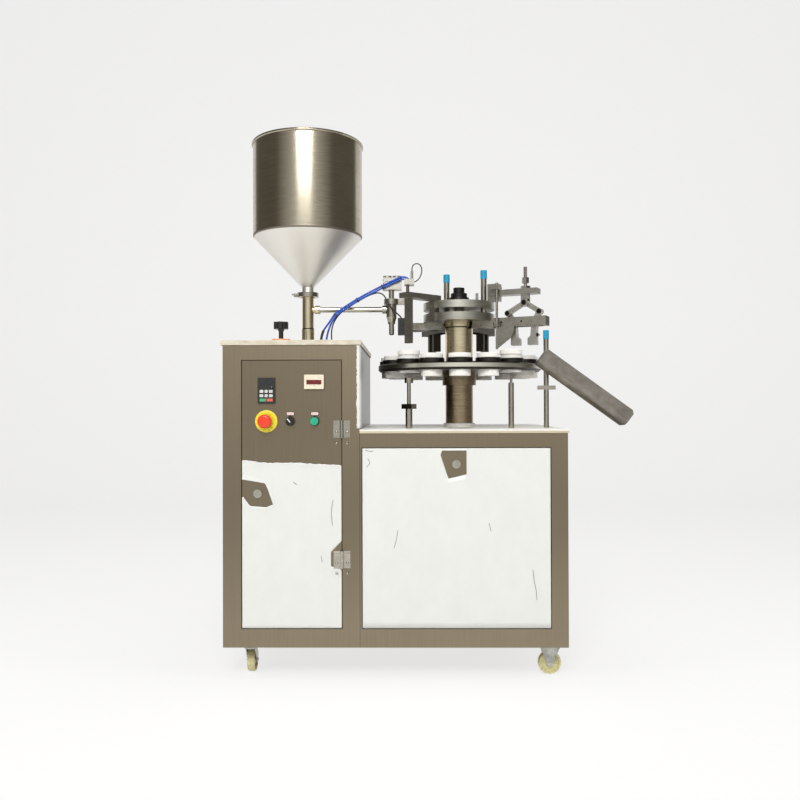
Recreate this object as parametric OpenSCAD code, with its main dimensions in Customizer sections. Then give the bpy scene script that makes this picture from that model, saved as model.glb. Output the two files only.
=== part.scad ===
// Semi-automatic tube filling machine: a castered cabinet with a hopper and dosing
// cylinder on its tall side, and an indexing turntable with filling, folding and
// crimping stations on its low side. Millimetres, +Z up, floor at z = 0.

/* [Cabinet] */
// Width of the cabinet across both sections
cabinet_w = 1117; // [1060:1:1200]
// Depth of the cabinet
cabinet_d = 720; // [680:1:800]
// Width of the tall left section
tower_w = 444; // [430:1:470]
// Height of the tall section's walls above the underside
tower_h = 993; // [960:1:1040]
// Height of the low section's walls above the underside
table_h = 692; // [670:1:720]
// Thickness of the cabinet sheet
sheet_t = 3; // [2:0.5:4]
// Width of the left front post beside the door
left_post_w = 60; // [50:1:70]
// Width of the post between door and front panel
mid_post_w = 62; // [58:1:70]
// Width of the right front post
right_post_w = 54; // [45:1:65]
// Height of the rail under the door and the front panel
bottom_rail_h = 60; // [50:1:75]
// Height of the rail above the door and above the front panel
top_rail_h = 46; // [40:1:60]
// Depth of the door and of the front panel
leaf_d = 20; // [16:1:26]
// Gap round the door and the front panel
leaf_gap = 3; // [2:0.5:4]
// Width of the stop lip behind the door and the front panel
stop_lip = 12; // [8:1:16]
// Height of the rim of the tall section's cover
cover_rim = 16; // [12:1:22]
// How far the cover stands out past the walls
cover_overhang = 8; // [5:1:12]
// Thickness of the table top
table_plate_t = 12; // [8:1:16]
// How far the table top stands out past the walls
table_overhang = 4; // [2:1:8]
// Thickness of the rear access panels
rear_panel_t = 2; // [1.5:0.5:3]

/* [Casters] */
// Overall height of a caster
caster_h = 105; // [100:1:120]
// Diameter of a caster wheel
wheel_d = 75; // [68:1:80]
// Width of a caster wheel
wheel_w = 24; // [20:1:28]
// Distance of the caster centres from the cabinet's sides
caster_inset_x = 78; // [70:1:95]
// Distance of the caster centres from the front and the rear
caster_inset_y = 70; // [68:1:90]
// Trail of the swivelling casters
caster_trail = 26; // [20:1:32]

/* [Turntable] */
// Distance of the column from the cabinet's right side
column_from_right = 328.5; // [310:0.5:340]
// Distance of the column from the cabinet's front
column_from_front = 340; // [330:1:360]
// Radius of the turntable
turntable_r = 295; // [292:1:297]
// Thickness of the turntable
turntable_t = 25; // [20:1:30]
// Clear height between the table top and the turntable
turntable_lift = 198; // [185:1:215]
// Number of tube cups
cup_count = 16; // [12:1:16]
// Pitch radius of the tube cups
cup_pitch_r = 248; // [246:1:250]
// Outer radius of a cup's flange
cup_flange_r = 38.5; // [38:0.5:40]
// Outer radius of a cup's body
cup_body_r = 36; // [35:0.5:37]
// Radius of the bore that holds a tube
cup_bore_r = 25; // [15:0.5:28]
// Height of a cup's body under its flange
cup_body_h = 61; // [56:1:70]
// Thickness of a cup's flange
cup_flange_t = 15; // [10:1:18]
// How far the two cups over the lifters are raised
cup_raise = 14; // [8:1:18]
// Height of the seat rings on the turntable
seat_ring_h = 15; // [12:1:18]

/* [Head] */
// Radius of the central column
column_r = 50; // [46:1:54]
// Radius of the fixed core that the turntable runs on
core_r = 35; // [30:1:38]
// Height of the column above the turntable
column_rise = 155; // [145:1:170]
// Radius of the tool plate and of the crosshead
head_plate_r = 130; // [126:1:134]
// Thickness of the tool plate
tool_plate_t = 27; // [20:1:30]
// Thickness of the crosshead
crosshead_t = 26; // [20:1:30]
// Opening between the tool plate and the raised crosshead
press_gap = 16; // [14:1:22]
// Radius of the press shaft
press_shaft_r = 20; // [16:1:22]
// Radius of the guide rods
guide_rod_r = 11; // [9:0.5:12]
// Width of the tool arms
arm_w = 45; // [42:1:50]
// Thickness of the side cheeks of a tool arm
arm_cheek_t = 7.5; // [6:0.5:9]
// How far a tool arm reaches past the circle of the tubes
arm_over = 83; // [78:1:92]
// Thickness of the toggle links
link_t = 12; // [10:0.5:12]
// Radius of the lever pivots
lever_pin_r = 5; // [4:0.5:6]
// Radius of the toggle pin
toggle_pin_r = 6; // [5:0.5:7]

/* [Filling] */
// Distance of the hopper's axis from the cabinet's left side
hopper_from_left = 233.5; // [220:0.5:240]
// Outer radius of the hopper
hopper_r = 199.5; // [180:0.5:210]
// Height of the hopper's cylinder
hopper_cyl_h = 339; // [280:1:380]
// Height of the hopper's cone
hopper_cone_h = 185; // [160:1:220]
// Wall of the hopper
hopper_wall = 2; // [1.5:0.5:3]
// Outer radius of the neck and of the tee
neck_r = 21.5; // [20:0.5:24]
// Height of the clamped joint above the cover
clamp_rise = 194; // [185:1:210]
// Radius of the product pipe
pipe_r = 10; // [8:0.5:12]
// Height of the product pipe above the cover
pipe_rise = 140; // [136:1:146]
// Outer radius of the filling head
fill_head_r = 19.3; // [17:0.1:22]
// Radius of the nozzle
nozzle_r = 9.75; // [7:0.25:11]
// Diameter of an air hose
hose_d = 7; // [6:1:8]
// Diameter of the sensor cable
cable_d = 5; // [4:0.5:6]

/* [Chute] */
// Length of the discharge chute
chute_l = 360; // [300:1:420]
// Depth and width of the chute
chute_w = 64; // [54:1:66]
// Slope of the chute in degrees
chute_slope = 36; // [30:1:42]
// Radius of the chute post
chute_post_r = 9; // [7:0.5:11]

/* [Controls] */
// Radius of the switch holes in the door
switch_hole_r = 11; // [10:0.5:12]
// Radius of the emergency stop's disc
estop_disc_r = 35.5; // [30:0.5:38]
// Radius of the emergency stop's head
estop_head_r = 22; // [18:0.5:26]
// Radius of a latch's head
latch_head_r = 14; // [12:0.5:16]

/* [Hidden] */
$fn = 64;

// Finishes
stainless = "#8d8270";
satin = "#c9c5c0";
bright = "#b9b4aa";
dark_steel = "#4a4640";
bronze = "#9c8d74";
white_plastic = "#f2f0ec";
black_plastic = "#242322";
blue_cap = "#1796bd";
blue_hose = "#1f4fb4";
red = "#f0482e";
green = "#2ea882";
cream = "#dcd6a0";
salmon = "#e0946a";
grey_paint = "#8b8682";

// Fits: running fit on a radius, clearance between moving faces, overshoot of a cut
fit = 0.05;
clear = 0.5;
cut = 1;

// Cabinet
base_z = caster_h;
left_x = -cabinet_w / 2;
right_x = cabinet_w / 2;
tower_x = left_x + tower_w;
tower_wall_z = base_z + tower_h;
table_wall_z = base_z + table_h;
cover_t = 2;
cover_z = tower_wall_z + cover_t;
table_z = table_wall_z + table_plate_t;
leaf_sheet = 2;
rear_rim = 60;
rear_edge = 42;
rear_split_inset = 20;
opening_z = base_z + bottom_rail_h;
door_x0 = left_x + left_post_w;
post_step = 6;
door_x1 = tower_x - mid_post_w + post_step;
door_z1 = tower_wall_z - top_rail_h - cover_rim;
panel_x0 = door_x1 + mid_post_w;
panel_x1 = right_x - right_post_w;
panel_z1 = table_wall_z - top_rail_h;
latch_inset = 54;
latch_rise = 438;
latch_head_t = 6;
latch_slot_t = 2;
latch_slot_w = 3;
cam_l = 46;
cam_w = 16;
cam_t = 4;
door_latch_z = opening_z + latch_rise;
rear_split_x = tower_x - rear_split_inset;
panel_latch_x = (panel_x0 + panel_x1) / 2;

// Hinges of the door
hinge_l = 56;
hinge_leaf_w = 27;
hinge_leaf_t = 3;
knuckle_r = 6;
hinge_pin_r = 3;
hinge_x = door_x1 - leaf_gap / 2;
hinge_gap = 0.4;
hinge_y = -knuckle_r - hinge_gap;
hinge_rises = [197, 618];
hinge_zs = [for (rise = hinge_rises) opening_z + rise];

// Door controls, measured from the door's lower left corner
switch_rise = 672;
estop_inset = 82;
selector_inset = 160;
start_inset = 239;
switch_z = opening_z + switch_rise;
estop_x = door_x0 + estop_inset;
selector_x = door_x0 + selector_inset;
start_x = door_x0 + start_inset;
keypad_w = 56;
keypad_h = 84;
keypad_at = [55, 729];
keypad_x = door_x0 + keypad_at.x;
keypad_z = opening_z + keypad_at.y;
counter_w = 63;
counter_h = 46;
counter_at = [206, 776];
counter_x = door_x0 + counter_at.x;
counter_z = opening_z + counter_at.y;
bezel_t = 8;
estop_collar_t = 14;
estop_disc_t = 2;
estop_gap = 7;
estop_head_h = 23;
collar_t = 9;
collar_r = 15;
stem_r = 8;

// Casters
axle_z = wheel_d / 2;
axle_r = 5;
plate_t = 4;
race_r = 24;
race_h = 10;
king_pin_r = 6;
fork_leg_t = 3;
fork_inner = wheel_w + 3;
crown_t = 5;
crown_z = caster_h - plate_t - race_h - clear;
caster_x0 = left_x + caster_inset_x;
rigid_shift = 27;
caster_x1 = right_x - caster_inset_x + rigid_shift;
caster_y0 = caster_inset_y;
caster_y1 = cabinet_d - caster_inset_y;

// Turntable
col_x = right_x - column_from_right;
col_y = column_from_front;
turntable_z = table_z + turntable_lift;
turntable_top = turntable_z + turntable_t;
seat_z = turntable_top + seat_ring_h;
cup_step = 360 / cup_count;
cup_phase = -3;
left_station = -2;
right_station = 2;
fill_station = -4;
tong_station = 3;
cup_rest_z = seat_z - cup_body_h;
cup_recess_r = 17;
cup_recess_h = 10;
cup_floor_t = 6;
cup_groove_h = 4;
cup_groove_t = 2;
hub_r = 61.5;
hub_h = 47;
index_drop = 70;
index_top = table_z - index_drop;
gearbox_h = 204;
stand_z = index_top - gearbox_h;
seat_ring_t = 7;
gear_w = 200;
core_sink = 10;
core_foot_z = index_top - core_sink;
lift_left_r = 6.75;
lift_right_r = 4.5;
lift_gap = 4;
lift_depth = 60;
lift_top_z = cup_rest_z - lift_gap;
lift_foot_z = table_wall_z - lift_depth;

// Head
column_gap = 2;
column_foot_z = turntable_top + column_gap;
tool_plate_z = column_foot_z + column_rise;
tool_plate_top = tool_plate_z + tool_plate_t;
crosshead_z = tool_plate_top + press_gap;
crosshead_top = crosshead_z + crosshead_t;
neck_wall = 10;
neck_core_r = press_shaft_r + neck_wall;
guide_spots = [[-42, 60], [88, -30]];
guide_rise = 115;
guide_rod_top = crosshead_top + guide_rise;
cap_h = 31;
cap_wall = 1;
arm_h = 33;
arm_drop = 25;
arm_z = tool_plate_z - arm_drop;
arm_root_s = 60;
arm_reach = cup_pitch_r + arm_over;
back_stations = [-7, 7];
stub_station = -5;
stub_root_s = 95;
stub_reach = 190;
arm_slot_gap = 2;
arm_end_t = 13;
arm_slot_s0 = head_plate_r + arm_slot_gap;
arm_slot_s1 = arm_reach - arm_end_t;
arm_in = arm_w / 2 - arm_cheek_t;
lever_t = 2 * (arm_in - cut);
press_block_in = 14;
press_block_out = 28;
press_block_s0 = head_plate_r - press_block_in;
press_block_s1 = head_plate_r + press_block_out;
press_block_h = 62;
press_bar_rise = 19;
press_bar_z = crosshead_top + press_bar_rise;
press_bar_h = 19;
press_bar_over = 52;
press_bar_end = cup_pitch_r + press_bar_over;
left_bar_over = 24;
left_bar_end = cup_pitch_r + left_bar_over;
left_bar_h = 18;
guide_in = 17;
guide_out = 8;
guide_s0 = head_plate_r - guide_in;
guide_s1 = head_plate_r + guide_out;
guide_w = 25;
toggle_at = [4, 15];
toggle_s = cup_pitch_r + toggle_at.x;
toggle_z = crosshead_z + toggle_at.y;
pivot_at = [42, 16];
inner_pivot = [cup_pitch_r - pivot_at.x, arm_z + pivot_at.y];
outer_pivot = [cup_pitch_r + pivot_at.x, arm_z + pivot_at.y];
inner_eye_at = [-58, 48];
outer_eye_at = [56, 50];
inner_eye = [cup_pitch_r + inner_eye_at.x, arm_z + inner_eye_at.y];
outer_eye = [cup_pitch_r + outer_eye_at.x, arm_z + outer_eye_at.y];
eye_r = 11;
open_pivot_play = 0.6;
jaw_drop = 82;
jaw_z = inner_pivot.y - jaw_drop;
jaw_gap = 15;
boss_r = 13;
pin_head_r = 8;
pin_head_t = 3;

// Filling
hopper_x = left_x + hopper_from_left;
fill_x = col_x + cup_pitch_r * sin(cup_phase + fill_station * cup_step);
fill_y = col_y - cup_pitch_r * cos(cup_phase + fill_station * cup_step);
joint_z = cover_z + clamp_rise;
ferrule_r = 32;
ferrule_t = 6;
neck_h = 22;
cone_z = joint_z + ferrule_t + neck_h;
cyl_z = cone_z + hopper_cone_h;
rim_z = cyl_z + hopper_cyl_h;
rim_r = 5;
pipe_z = cover_z + pipe_rise;
union_r = 15.5;
tee_step = 68;
tee_step_z = cover_z + tee_step;
outlet_l = 17;
fill_lift = 5;
fill_rise = 22;
nozzle_drop = 43;
cylinder_rise = 53;
fill_entry = 46;
fill_body_z0 = tool_plate_z + fill_lift;
fill_entry_z = fill_body_z0 + fill_entry;
fill_body_z1 = crosshead_top + fill_rise;
nozzle_z = tool_plate_z - nozzle_drop;
fill_stem_r = 10.3;
cylinder_z = crosshead_top + cylinder_rise;
bar_inset = 49;
bar_t = 22;
bar_s1 = cup_pitch_r - bar_inset;
bar_s0 = bar_s1 - bar_t;
bar_drop = 40;
bar_z0 = tool_plate_z - bar_drop;
bar_z1 = fill_body_z1;
manifold_xs = [-200, -164];
manifold_ys = [-36, 18];
manifold_rise = 68;
manifold_h = 20;
manifold_x0 = col_x + manifold_xs[0];
manifold_x1 = col_x + manifold_xs[1];
manifold_y0 = col_y + manifold_ys[0];
manifold_y1 = col_y + manifold_ys[1];
manifold_z = crosshead_top + manifold_rise;
hose_end_z = manifold_z + manifold_h;
dosing_hole_r = 18;
knob_inset = 166;
knob_x = left_x + knob_inset;
knob_y = 150;
knob_shaft_r = 8;
gland_h = 6;
gland_r = 7;

// Chute and its post
chute_at = [264, -208];
chute_rise = 17;
chute_x = col_x + chute_at.x;
chute_y = col_y + chute_at.y;
chute_z = turntable_top + chute_rise;
chute_wall = 2;
post_gap = 6;
post_reach = 290;
post_drop = 46;
chute_post_x = col_x + post_reach;
chute_post_y = chute_y + chute_w / 2 + chute_post_r + post_gap;
chute_post_top = tool_plate_z - post_drop;
chute_corner = 10;
chute_tip_x = chute_x + chute_l * cos(chute_slope) + (chute_w / 2 - chute_corner) * sin(chute_slope);

// The part's origin: on the floor, in the middle of its outer box
origin_x = (left_x - cover_overhang + chute_tip_x) / 2;
estop_front_y = -estop_disc_t - estop_collar_t - estop_gap - estop_head_h;
origin_y = (cabinet_d + rear_panel_t + estop_front_y) / 2;

// Glands on the cover and the ends of the hoses and of the cable
gland_y = 324;
gland_x0 = -275;
gland_step = 20;
gland_z = cover_z + gland_h;
port_insets = [18, 6];
sensor_at = [19, 347];
sensor_rise = 59;
left_end = [manifold_x0 + port_insets[0], gland_y, hose_end_z];
right_end = [manifold_x0 + port_insets[1], gland_y, hose_end_z];
sensor_end = [sensor_at.x, sensor_at.y, bar_z0 + sensor_rise];

// Routes of the hoses and of the cable between their ends
route_left = laid([[-275, 324, 1106], [-274, 324, 1132], [-267, 324, 1160], [-243, 324, 1192],
    [-226, 324, 1219.5], [-205, 324, 1236], [-182, 324, 1250.5], [-144, 324, 1275], [-98.5, 324, 1299.5],
    [-52.5, 324, 1322.5], [-17.5, 324, 1339.5], [12, 324, 1354], [21.5, 324, 1356.5], [31, 324, 1355.5],
    [40.5, 324, 1352], [48, 324, 1346]], [gland_x0, gland_y, gland_z], left_end);
route_right = laid([[-255, 324, 1106], [-254.5, 324, 1132], [-248, 324, 1160], [-237, 324, 1188],
    [-220, 324, 1214.5], [-201, 324, 1230], [-178, 324, 1244.5], [-140, 324, 1269], [-95.5, 324, 1292.5],
    [-49.5, 324, 1315.5], [-14.5, 324, 1332.5], [14.5, 324, 1347], [20, 324, 1348.5], [25.5, 324, 1349],
    [31, 324, 1348], [36, 324, 1346]], [gland_x0 + gland_step, gland_y, gland_z], right_end);
route_cable = laid([[-235, 324, 1106], [-236, 326, 1130], [-237, 329.5, 1158], [-232, 331.5, 1184],
    [-219, 332, 1209], [-200, 332, 1229], [-177, 332, 1244.5], [-140, 332, 1268.5],
    [-97, 332, 1291.5], [-66, 331.5, 1301], [-46, 326, 1293], [-36, 321, 1275], [-28, 318, 1256],
    [-14, 320, 1238], [4, 328, 1222], [15, 338, 1214], [19, 347, 1208]],
    [gland_x0 + 2 * gland_step, gland_y, gland_z], sensor_end);

// A route's shape carried over so that it runs from one end to the other
function laid(pts, from, to) =
    let (last = len(pts) - 1)
    [for (i = [0:last]) pts[i] + (from - pts[0]) * (1 - i / last) + (to - pts[last]) * (i / last)];

// Places the machine so that its origin lies where the part's does
module machine_frame() {
    translate([-origin_x, -origin_y, 0]) children();
}

// Places children in a station's frame: local X runs outwards from the column
module at_station(angle) {
    translate([col_x, col_y, 0]) rotate([0, 0, angle - 90]) children();
}

// Angle of a station, from the front towards the right
function station_angle(k) = cup_phase + k * cup_step;

// Extrudes an outline drawn in X and Z along +Y
module along_y(y0, length) {
    translate([0, y0 + length, 0]) rotate([90, 0, 0]) linear_extrude(length) children();
}

// A disc or a bore along Y
module y_cylinder(x, z, y0, y1, r) {
    translate([x, y0, z]) rotate([-90, 0, 0]) cylinder(h = y1 - y0, r = r);
}

// A box given by its corners
module box(x0, x1, y0, y1, z0, z1) {
    translate([x0, y0, z0]) cube([x1 - x0, y1 - y0, z1 - z0]);
}

// Outline of the cabinet, drawn in X and Z, set in by a wall
module cabinet_outline(inset) {
    polygon([[left_x + inset, base_z + inset], [right_x - inset, base_z + inset],
        [right_x - inset, table_wall_z - inset], [tower_x - inset, table_wall_z - inset],
        [tower_x - inset, tower_wall_z - inset], [left_x + inset, tower_wall_z - inset]]);
}

// Folded jamb with a stop lip behind an opening in the front
module opening_frame(x0, x1, z0, z1) {
    difference() {
        box(x0 - sheet_t, x1 + sheet_t, 0, leaf_d + sheet_t, z0 - sheet_t, z1 + sheet_t);
        box(x0, x1, -cut, leaf_d, z0, z1);
        box(x0 + stop_lip, x1 - stop_lip, 0, leaf_d + sheet_t + cut, z0 + stop_lip, z1 - stop_lip);
    }
}

module cabinet_shell() {
    machine_frame() color(stainless) difference() {
        union() {
            difference() {
                along_y(0, cabinet_d) cabinet_outline(0);
                along_y(sheet_t, cabinet_d - 2 * sheet_t) cabinet_outline(sheet_t);
                box(door_x0, door_x1, -cut, sheet_t + cut, opening_z, door_z1);
                box(panel_x0, panel_x1, -cut, sheet_t + cut, opening_z, panel_z1);
                box(left_x + rear_rim, rear_split_x - rear_rim / 2, cabinet_d - sheet_t - cut, cabinet_d + cut,
                    opening_z, tower_wall_z - rear_rim);
                box(rear_split_x + rear_rim / 2, right_x - rear_rim, cabinet_d - sheet_t - cut, cabinet_d + cut,
                    opening_z, table_wall_z - rear_rim);
            }
            opening_frame(door_x0, door_x1, opening_z, door_z1);
            opening_frame(panel_x0, panel_x1, opening_z, panel_z1);
        }
        translate([hopper_x, fill_y, tower_wall_z - sheet_t - cut])
            cylinder(h = sheet_t + 2 * cut, r = dosing_hole_r);
        table_holes(table_wall_z - sheet_t - cut, sheet_t + 2 * cut);
    }
}

// Holes through the table for the turntable's sleeve and the lifter rods
module table_holes(z0, h) {
    translate([col_x, col_y, z0]) cylinder(h = h, r = column_r + clear);
    at_station(station_angle(left_station)) translate([cup_pitch_r, 0, z0])
        cylinder(h = h, r = lift_left_r + clear);
    at_station(station_angle(right_station)) translate([cup_pitch_r, 0, z0])
        cylinder(h = h, r = lift_right_r + clear);
}

module rear_panels() {
    foot_z = opening_z - rear_edge / 2;
    machine_frame() color(stainless) {
        box(left_x + rear_edge, rear_split_x - clear, cabinet_d, cabinet_d + rear_panel_t,
            foot_z, tower_wall_z - rear_edge);
        box(rear_split_x + clear, right_x - rear_edge, cabinet_d, cabinet_d + rear_panel_t,
            foot_z, table_wall_z - rear_edge);
    }
}

// Pan of folded sheet that fills an opening, open at its back
module leaf(x0, x1, z0, z1) {
    difference() {
        box(x0 + leaf_gap, x1 - leaf_gap, 0, leaf_d, z0 + leaf_gap, z1 - leaf_gap);
        box(x0 + leaf_gap + leaf_sheet, x1 - leaf_gap - leaf_sheet, leaf_sheet, leaf_d + cut,
            z0 + leaf_gap + leaf_sheet, z1 - leaf_gap - leaf_sheet);
    }
}

module front_panel() {
    machine_frame() color(white_plastic) difference() {
        leaf(panel_x0, panel_x1, opening_z, panel_z1);
        y_cylinder(panel_latch_x, panel_z1 - latch_inset, -cut, leaf_d, switch_hole_r);
    }
}

module door() {
    machine_frame() color(stainless) difference() {
        leaf(door_x0, door_x1, opening_z, door_z1);
        y_cylinder(door_x0 + latch_inset, door_latch_z, -cut, leaf_d, switch_hole_r);
        for (x = [estop_x, selector_x, start_x])
            y_cylinder(x, switch_z, -cut, leaf_d, switch_hole_r);
        box(keypad_x + bezel_t, keypad_x + keypad_w - bezel_t, -cut, leaf_d,
            keypad_z + bezel_t, keypad_z + keypad_h - bezel_t);
        box(counter_x + bezel_t, counter_x + counter_w - bezel_t, -cut, leaf_d,
            counter_z + bezel_t, counter_z + counter_h - bezel_t);
    }
}

// Quarter-turn latch: head, shaft through the leaf and a cam behind the stop lip
module latch(x, z, cam_angle) {
    shaft_end = leaf_d + sheet_t + clear;
    translate([x, 0, z]) {
        difference() {
            union() {
                y_cylinder(0, 0, -latch_head_t, 0, latch_head_r);
                y_cylinder(0, 0, -latch_head_t / 2, shaft_end + cam_t, switch_hole_r - fit);
            }
            box(-latch_head_r, latch_head_r, -latch_head_t - cut, latch_slot_t - latch_head_t,
                -latch_slot_w / 2, latch_slot_w / 2);
        }
        rotate([0, cam_angle, 0]) box(0, cam_l, shaft_end, shaft_end + cam_t, -cam_w / 2, cam_w / 2);
    }
}

module door_latch() {
    machine_frame() color(bright) latch(door_x0 + latch_inset, door_latch_z, -90);
}

module panel_latch() {
    machine_frame() color(bright) latch(panel_latch_x, panel_z1 - latch_inset, -90);
}

// One leaf of a butt hinge; side +1 lies on the frame and carries the pin
module hinge_leaf(side, z) {
    third = hinge_l / 3;
    x_in = side > 0 ? 0 : -hinge_leaf_w;
    translate([hinge_x, 0, z]) difference() {
        union() {
            difference() {
                box(x_in, x_in + hinge_leaf_w, -hinge_leaf_t, 0, 0, hinge_l);
                if (side > 0)
                    translate([0, hinge_y, third]) cylinder(h = third, r = knuckle_r + clear);
                else
                    for (k = [0, 2])
                        translate([0, hinge_y, k * third - cut]) cylinder(h = third + cut + clear,
                            r = knuckle_r + clear);
            }
            if (side > 0) {
                for (k = [0, 2])
                    translate([0, hinge_y, k * third]) cylinder(h = third, r = knuckle_r);
                translate([0, hinge_y, 0]) cylinder(h = hinge_l, r = hinge_pin_r);
            } else
                translate([0, hinge_y, third + clear]) cylinder(h = third - 2 * clear, r = knuckle_r);
        }
        if (side < 0)
            translate([0, hinge_y, 0]) cylinder(h = hinge_l, r = hinge_pin_r + fit);
    }
}

module frame_hinge_leaves() {
    machine_frame() color(bright) for (z = hinge_zs) hinge_leaf(1, z);
}

module door_hinge_leaves() {
    machine_frame() color(bright) for (z = hinge_zs) hinge_leaf(-1, z);
}

module top_cover() {
    front = cover_overhang / 2;
    x0 = left_x - cover_overhang;
    x1 = tower_x + front;
    machine_frame() color(white_plastic) difference() {
        union() {
            box(x0, x1, -front, cabinet_d, cover_z - cover_rim, cover_z);
            for (route = [route_left, route_right, route_cable])
                translate([route[0].x, route[0].y, cover_z]) cylinder(h = gland_h, r = gland_r);
        }
        box(x0 + cover_t, x1 - cover_t, cover_t - front, cabinet_d - cover_t, cover_z - cover_rim - cut,
            tower_wall_z);
        box(left_x - fit, tower_x + fit, -fit, cabinet_d + cut, cover_z - cover_rim - cut, tower_wall_z);
        translate([hopper_x, fill_y, tower_wall_z - cut]) cylinder(h = cover_t + 2 * cut, r = dosing_hole_r);
    }
}

module table_top() {
    ring_r = column_r + 8;
    ring_h = 13;
    machine_frame() color(bright) difference() {
        union() {
            box(tower_x, right_x + table_overhang, -table_overhang, cabinet_d, table_wall_z, table_z);
            translate([col_x, col_y, table_z]) cylinder(h = ring_h, r = ring_r);
        }
        table_holes(table_wall_z - cut, table_plate_t + ring_h + 2 * cut);
    }
}

module column() {
    collar_h = 18;
    collar_step = 5;
    machine_frame() color(bronze) translate([col_x, col_y, 0]) rotate_extrude()
        polygon([[press_shaft_r + fit, core_foot_z], [core_r, core_foot_z], [core_r, column_foot_z],
            [column_r, column_foot_z], [column_r, tool_plate_z - collar_h],
            [column_r + collar_step, tool_plate_z - collar_h], [column_r + collar_step, tool_plate_z],
            [neck_core_r, tool_plate_z], [neck_core_r, tool_plate_top], [press_shaft_r + fit, tool_plate_top]]);
}

module turntable_hub() {
    screw_r = 4;
    machine_frame() color(bronze) translate([col_x, col_y, 0]) difference() {
        rotate_extrude() polygon([[core_r + fit, core_foot_z + cut], [column_r, core_foot_z + cut],
            [column_r, turntable_z - hub_h], [hub_r, turntable_z - hub_h], [hub_r, turntable_z],
            [core_r + fit, turntable_z]]);
        for (k = [0:3])
            rotate([0, 0, k * 90]) translate([column_r, 0, turntable_z - hub_h / 2]) rotate([0, 90, 0])
                cylinder(h = hub_r, r = screw_r, $fn = 24);
    }
}

// Places children at each of the cup stations in a list
module at_cups(stations) {
    for (k = stations)
        at_station(station_angle(k)) translate([cup_pitch_r, 0, 0]) children();
}

module turntable() {
    chamfer = 7;
    stations = [0:cup_count - 1];
    machine_frame() color(dark_steel) difference() {
        union() {
            translate([col_x, col_y, 0]) rotate_extrude()
                polygon([[core_r + fit, turntable_z], [turntable_r - chamfer, turntable_z],
                    [turntable_r, turntable_z + chamfer], [turntable_r, turntable_top - chamfer / 2],
                    [turntable_r - chamfer / 2, turntable_top], [core_r + fit, turntable_top]]);
            at_cups(stations) translate([0, 0, turntable_top - cut])
                cylinder(h = seat_ring_h + cut, r = cup_body_r + seat_ring_t);
        }
        at_cups(stations) translate([0, 0, turntable_z - cut])
            cylinder(h = turntable_t + seat_ring_h + 2 * cut, r = cup_body_r + fit);
    }
}

// Tube cup, turned from plastic: tube bore above, lifter recess below
module cup(z) {
    floor_z = cup_recess_h + cup_floor_t;
    top = cup_body_h + cup_flange_t;
    lead_in = 3;
    translate([0, 0, z]) rotate_extrude()
        polygon([[0, cup_recess_h], [cup_recess_r, cup_recess_h], [cup_recess_r, 0], [cup_body_r, 0],
            [cup_body_r, cup_body_h - cup_groove_h], [cup_body_r - cup_groove_t, cup_body_h - cup_groove_h],
            [cup_body_r - cup_groove_t, cup_body_h], [cup_flange_r, cup_body_h], [cup_flange_r, top - cut],
            [cup_flange_r - cut, top], [cup_bore_r + lead_in, top], [cup_bore_r, top - lead_in],
            [cup_bore_r, floor_z], [0, floor_z]]);
}

module tube_cups() {
    machine_frame() color(white_plastic)
        at_cups([for (k = [0:cup_count - 1]) if (k != right_station && k != left_station + cup_count) k])
            cup(cup_rest_z);
}

module cup_left() {
    machine_frame() color(white_plastic) at_cups([left_station]) cup(cup_rest_z + cup_raise);
}

module cup_right() {
    machine_frame() color(white_plastic) at_cups([right_station]) cup(cup_rest_z + cup_raise);
}

// Lifter rods, just clear of the resting cups
module lift_rod_left() {
    head_h = 18;
    machine_frame() color(bright) at_cups([left_station]) {
        translate([0, 0, lift_foot_z]) cylinder(h = lift_top_z - lift_foot_z, r = lift_left_r);
        translate([0, 0, lift_top_z - head_h]) cylinder(h = head_h, r = cup_recess_r - 2);
    }
}

module lift_rod_right() {
    machine_frame() color(bright) at_cups([right_station])
        translate([0, 0, lift_foot_z]) cylinder(h = lift_top_z - lift_foot_z, r = lift_right_r);
}

module lift_sleeves() {
    left_h = 66;
    collar_h = 17;
    collar_w = 51;
    collar_d = 24;
    right_h = turntable_lift - 43;
    wall = 5.25;
    machine_frame() color(bright) {
        at_cups([left_station]) difference() {
            union() {
                translate([0, 0, table_z]) cylinder(h = left_h, r = lift_left_r + wall);
                translate([-collar_d / 2, -collar_w / 2, table_z + left_h]) cube([collar_d, collar_w, collar_h]);
            }
            translate([0, 0, table_z - cut]) cylinder(h = left_h + collar_h + 2 * cut, r = lift_left_r + fit);
        }
        at_cups([right_station]) difference() {
            translate([0, 0, table_z]) cylinder(h = right_h, r = lift_right_r + wall);
            translate([0, 0, table_z - cut]) cylinder(h = right_h + 2 * cut, r = lift_right_r + fit);
        }
    }
}

module tool_plate() {
    machine_frame() color(bronze) translate([col_x, col_y, tool_plate_z]) difference() {
        cylinder(h = tool_plate_t, r = head_plate_r);
        translate([0, 0, -cut]) cylinder(h = tool_plate_t + 2 * cut, r = neck_core_r + fit);
        for (p = guide_spots)
            translate([p.x, p.y, -cut]) cylinder(h = tool_plate_t + 2 * cut, r = guide_rod_r + fit);
        guide_notch(clear, -cut, tool_plate_t + cut);
    }
}

// Notch in a plate's rim for the guide of the left press arm, in the column's frame
module guide_notch(gap, z0, z1) {
    half = guide_w / 2 + gap;
    rotate([0, 0, station_angle(left_station) - 90])
        box(guide_s0 - gap, head_plate_r + cut, -half, half, z0, z1);
}

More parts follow.
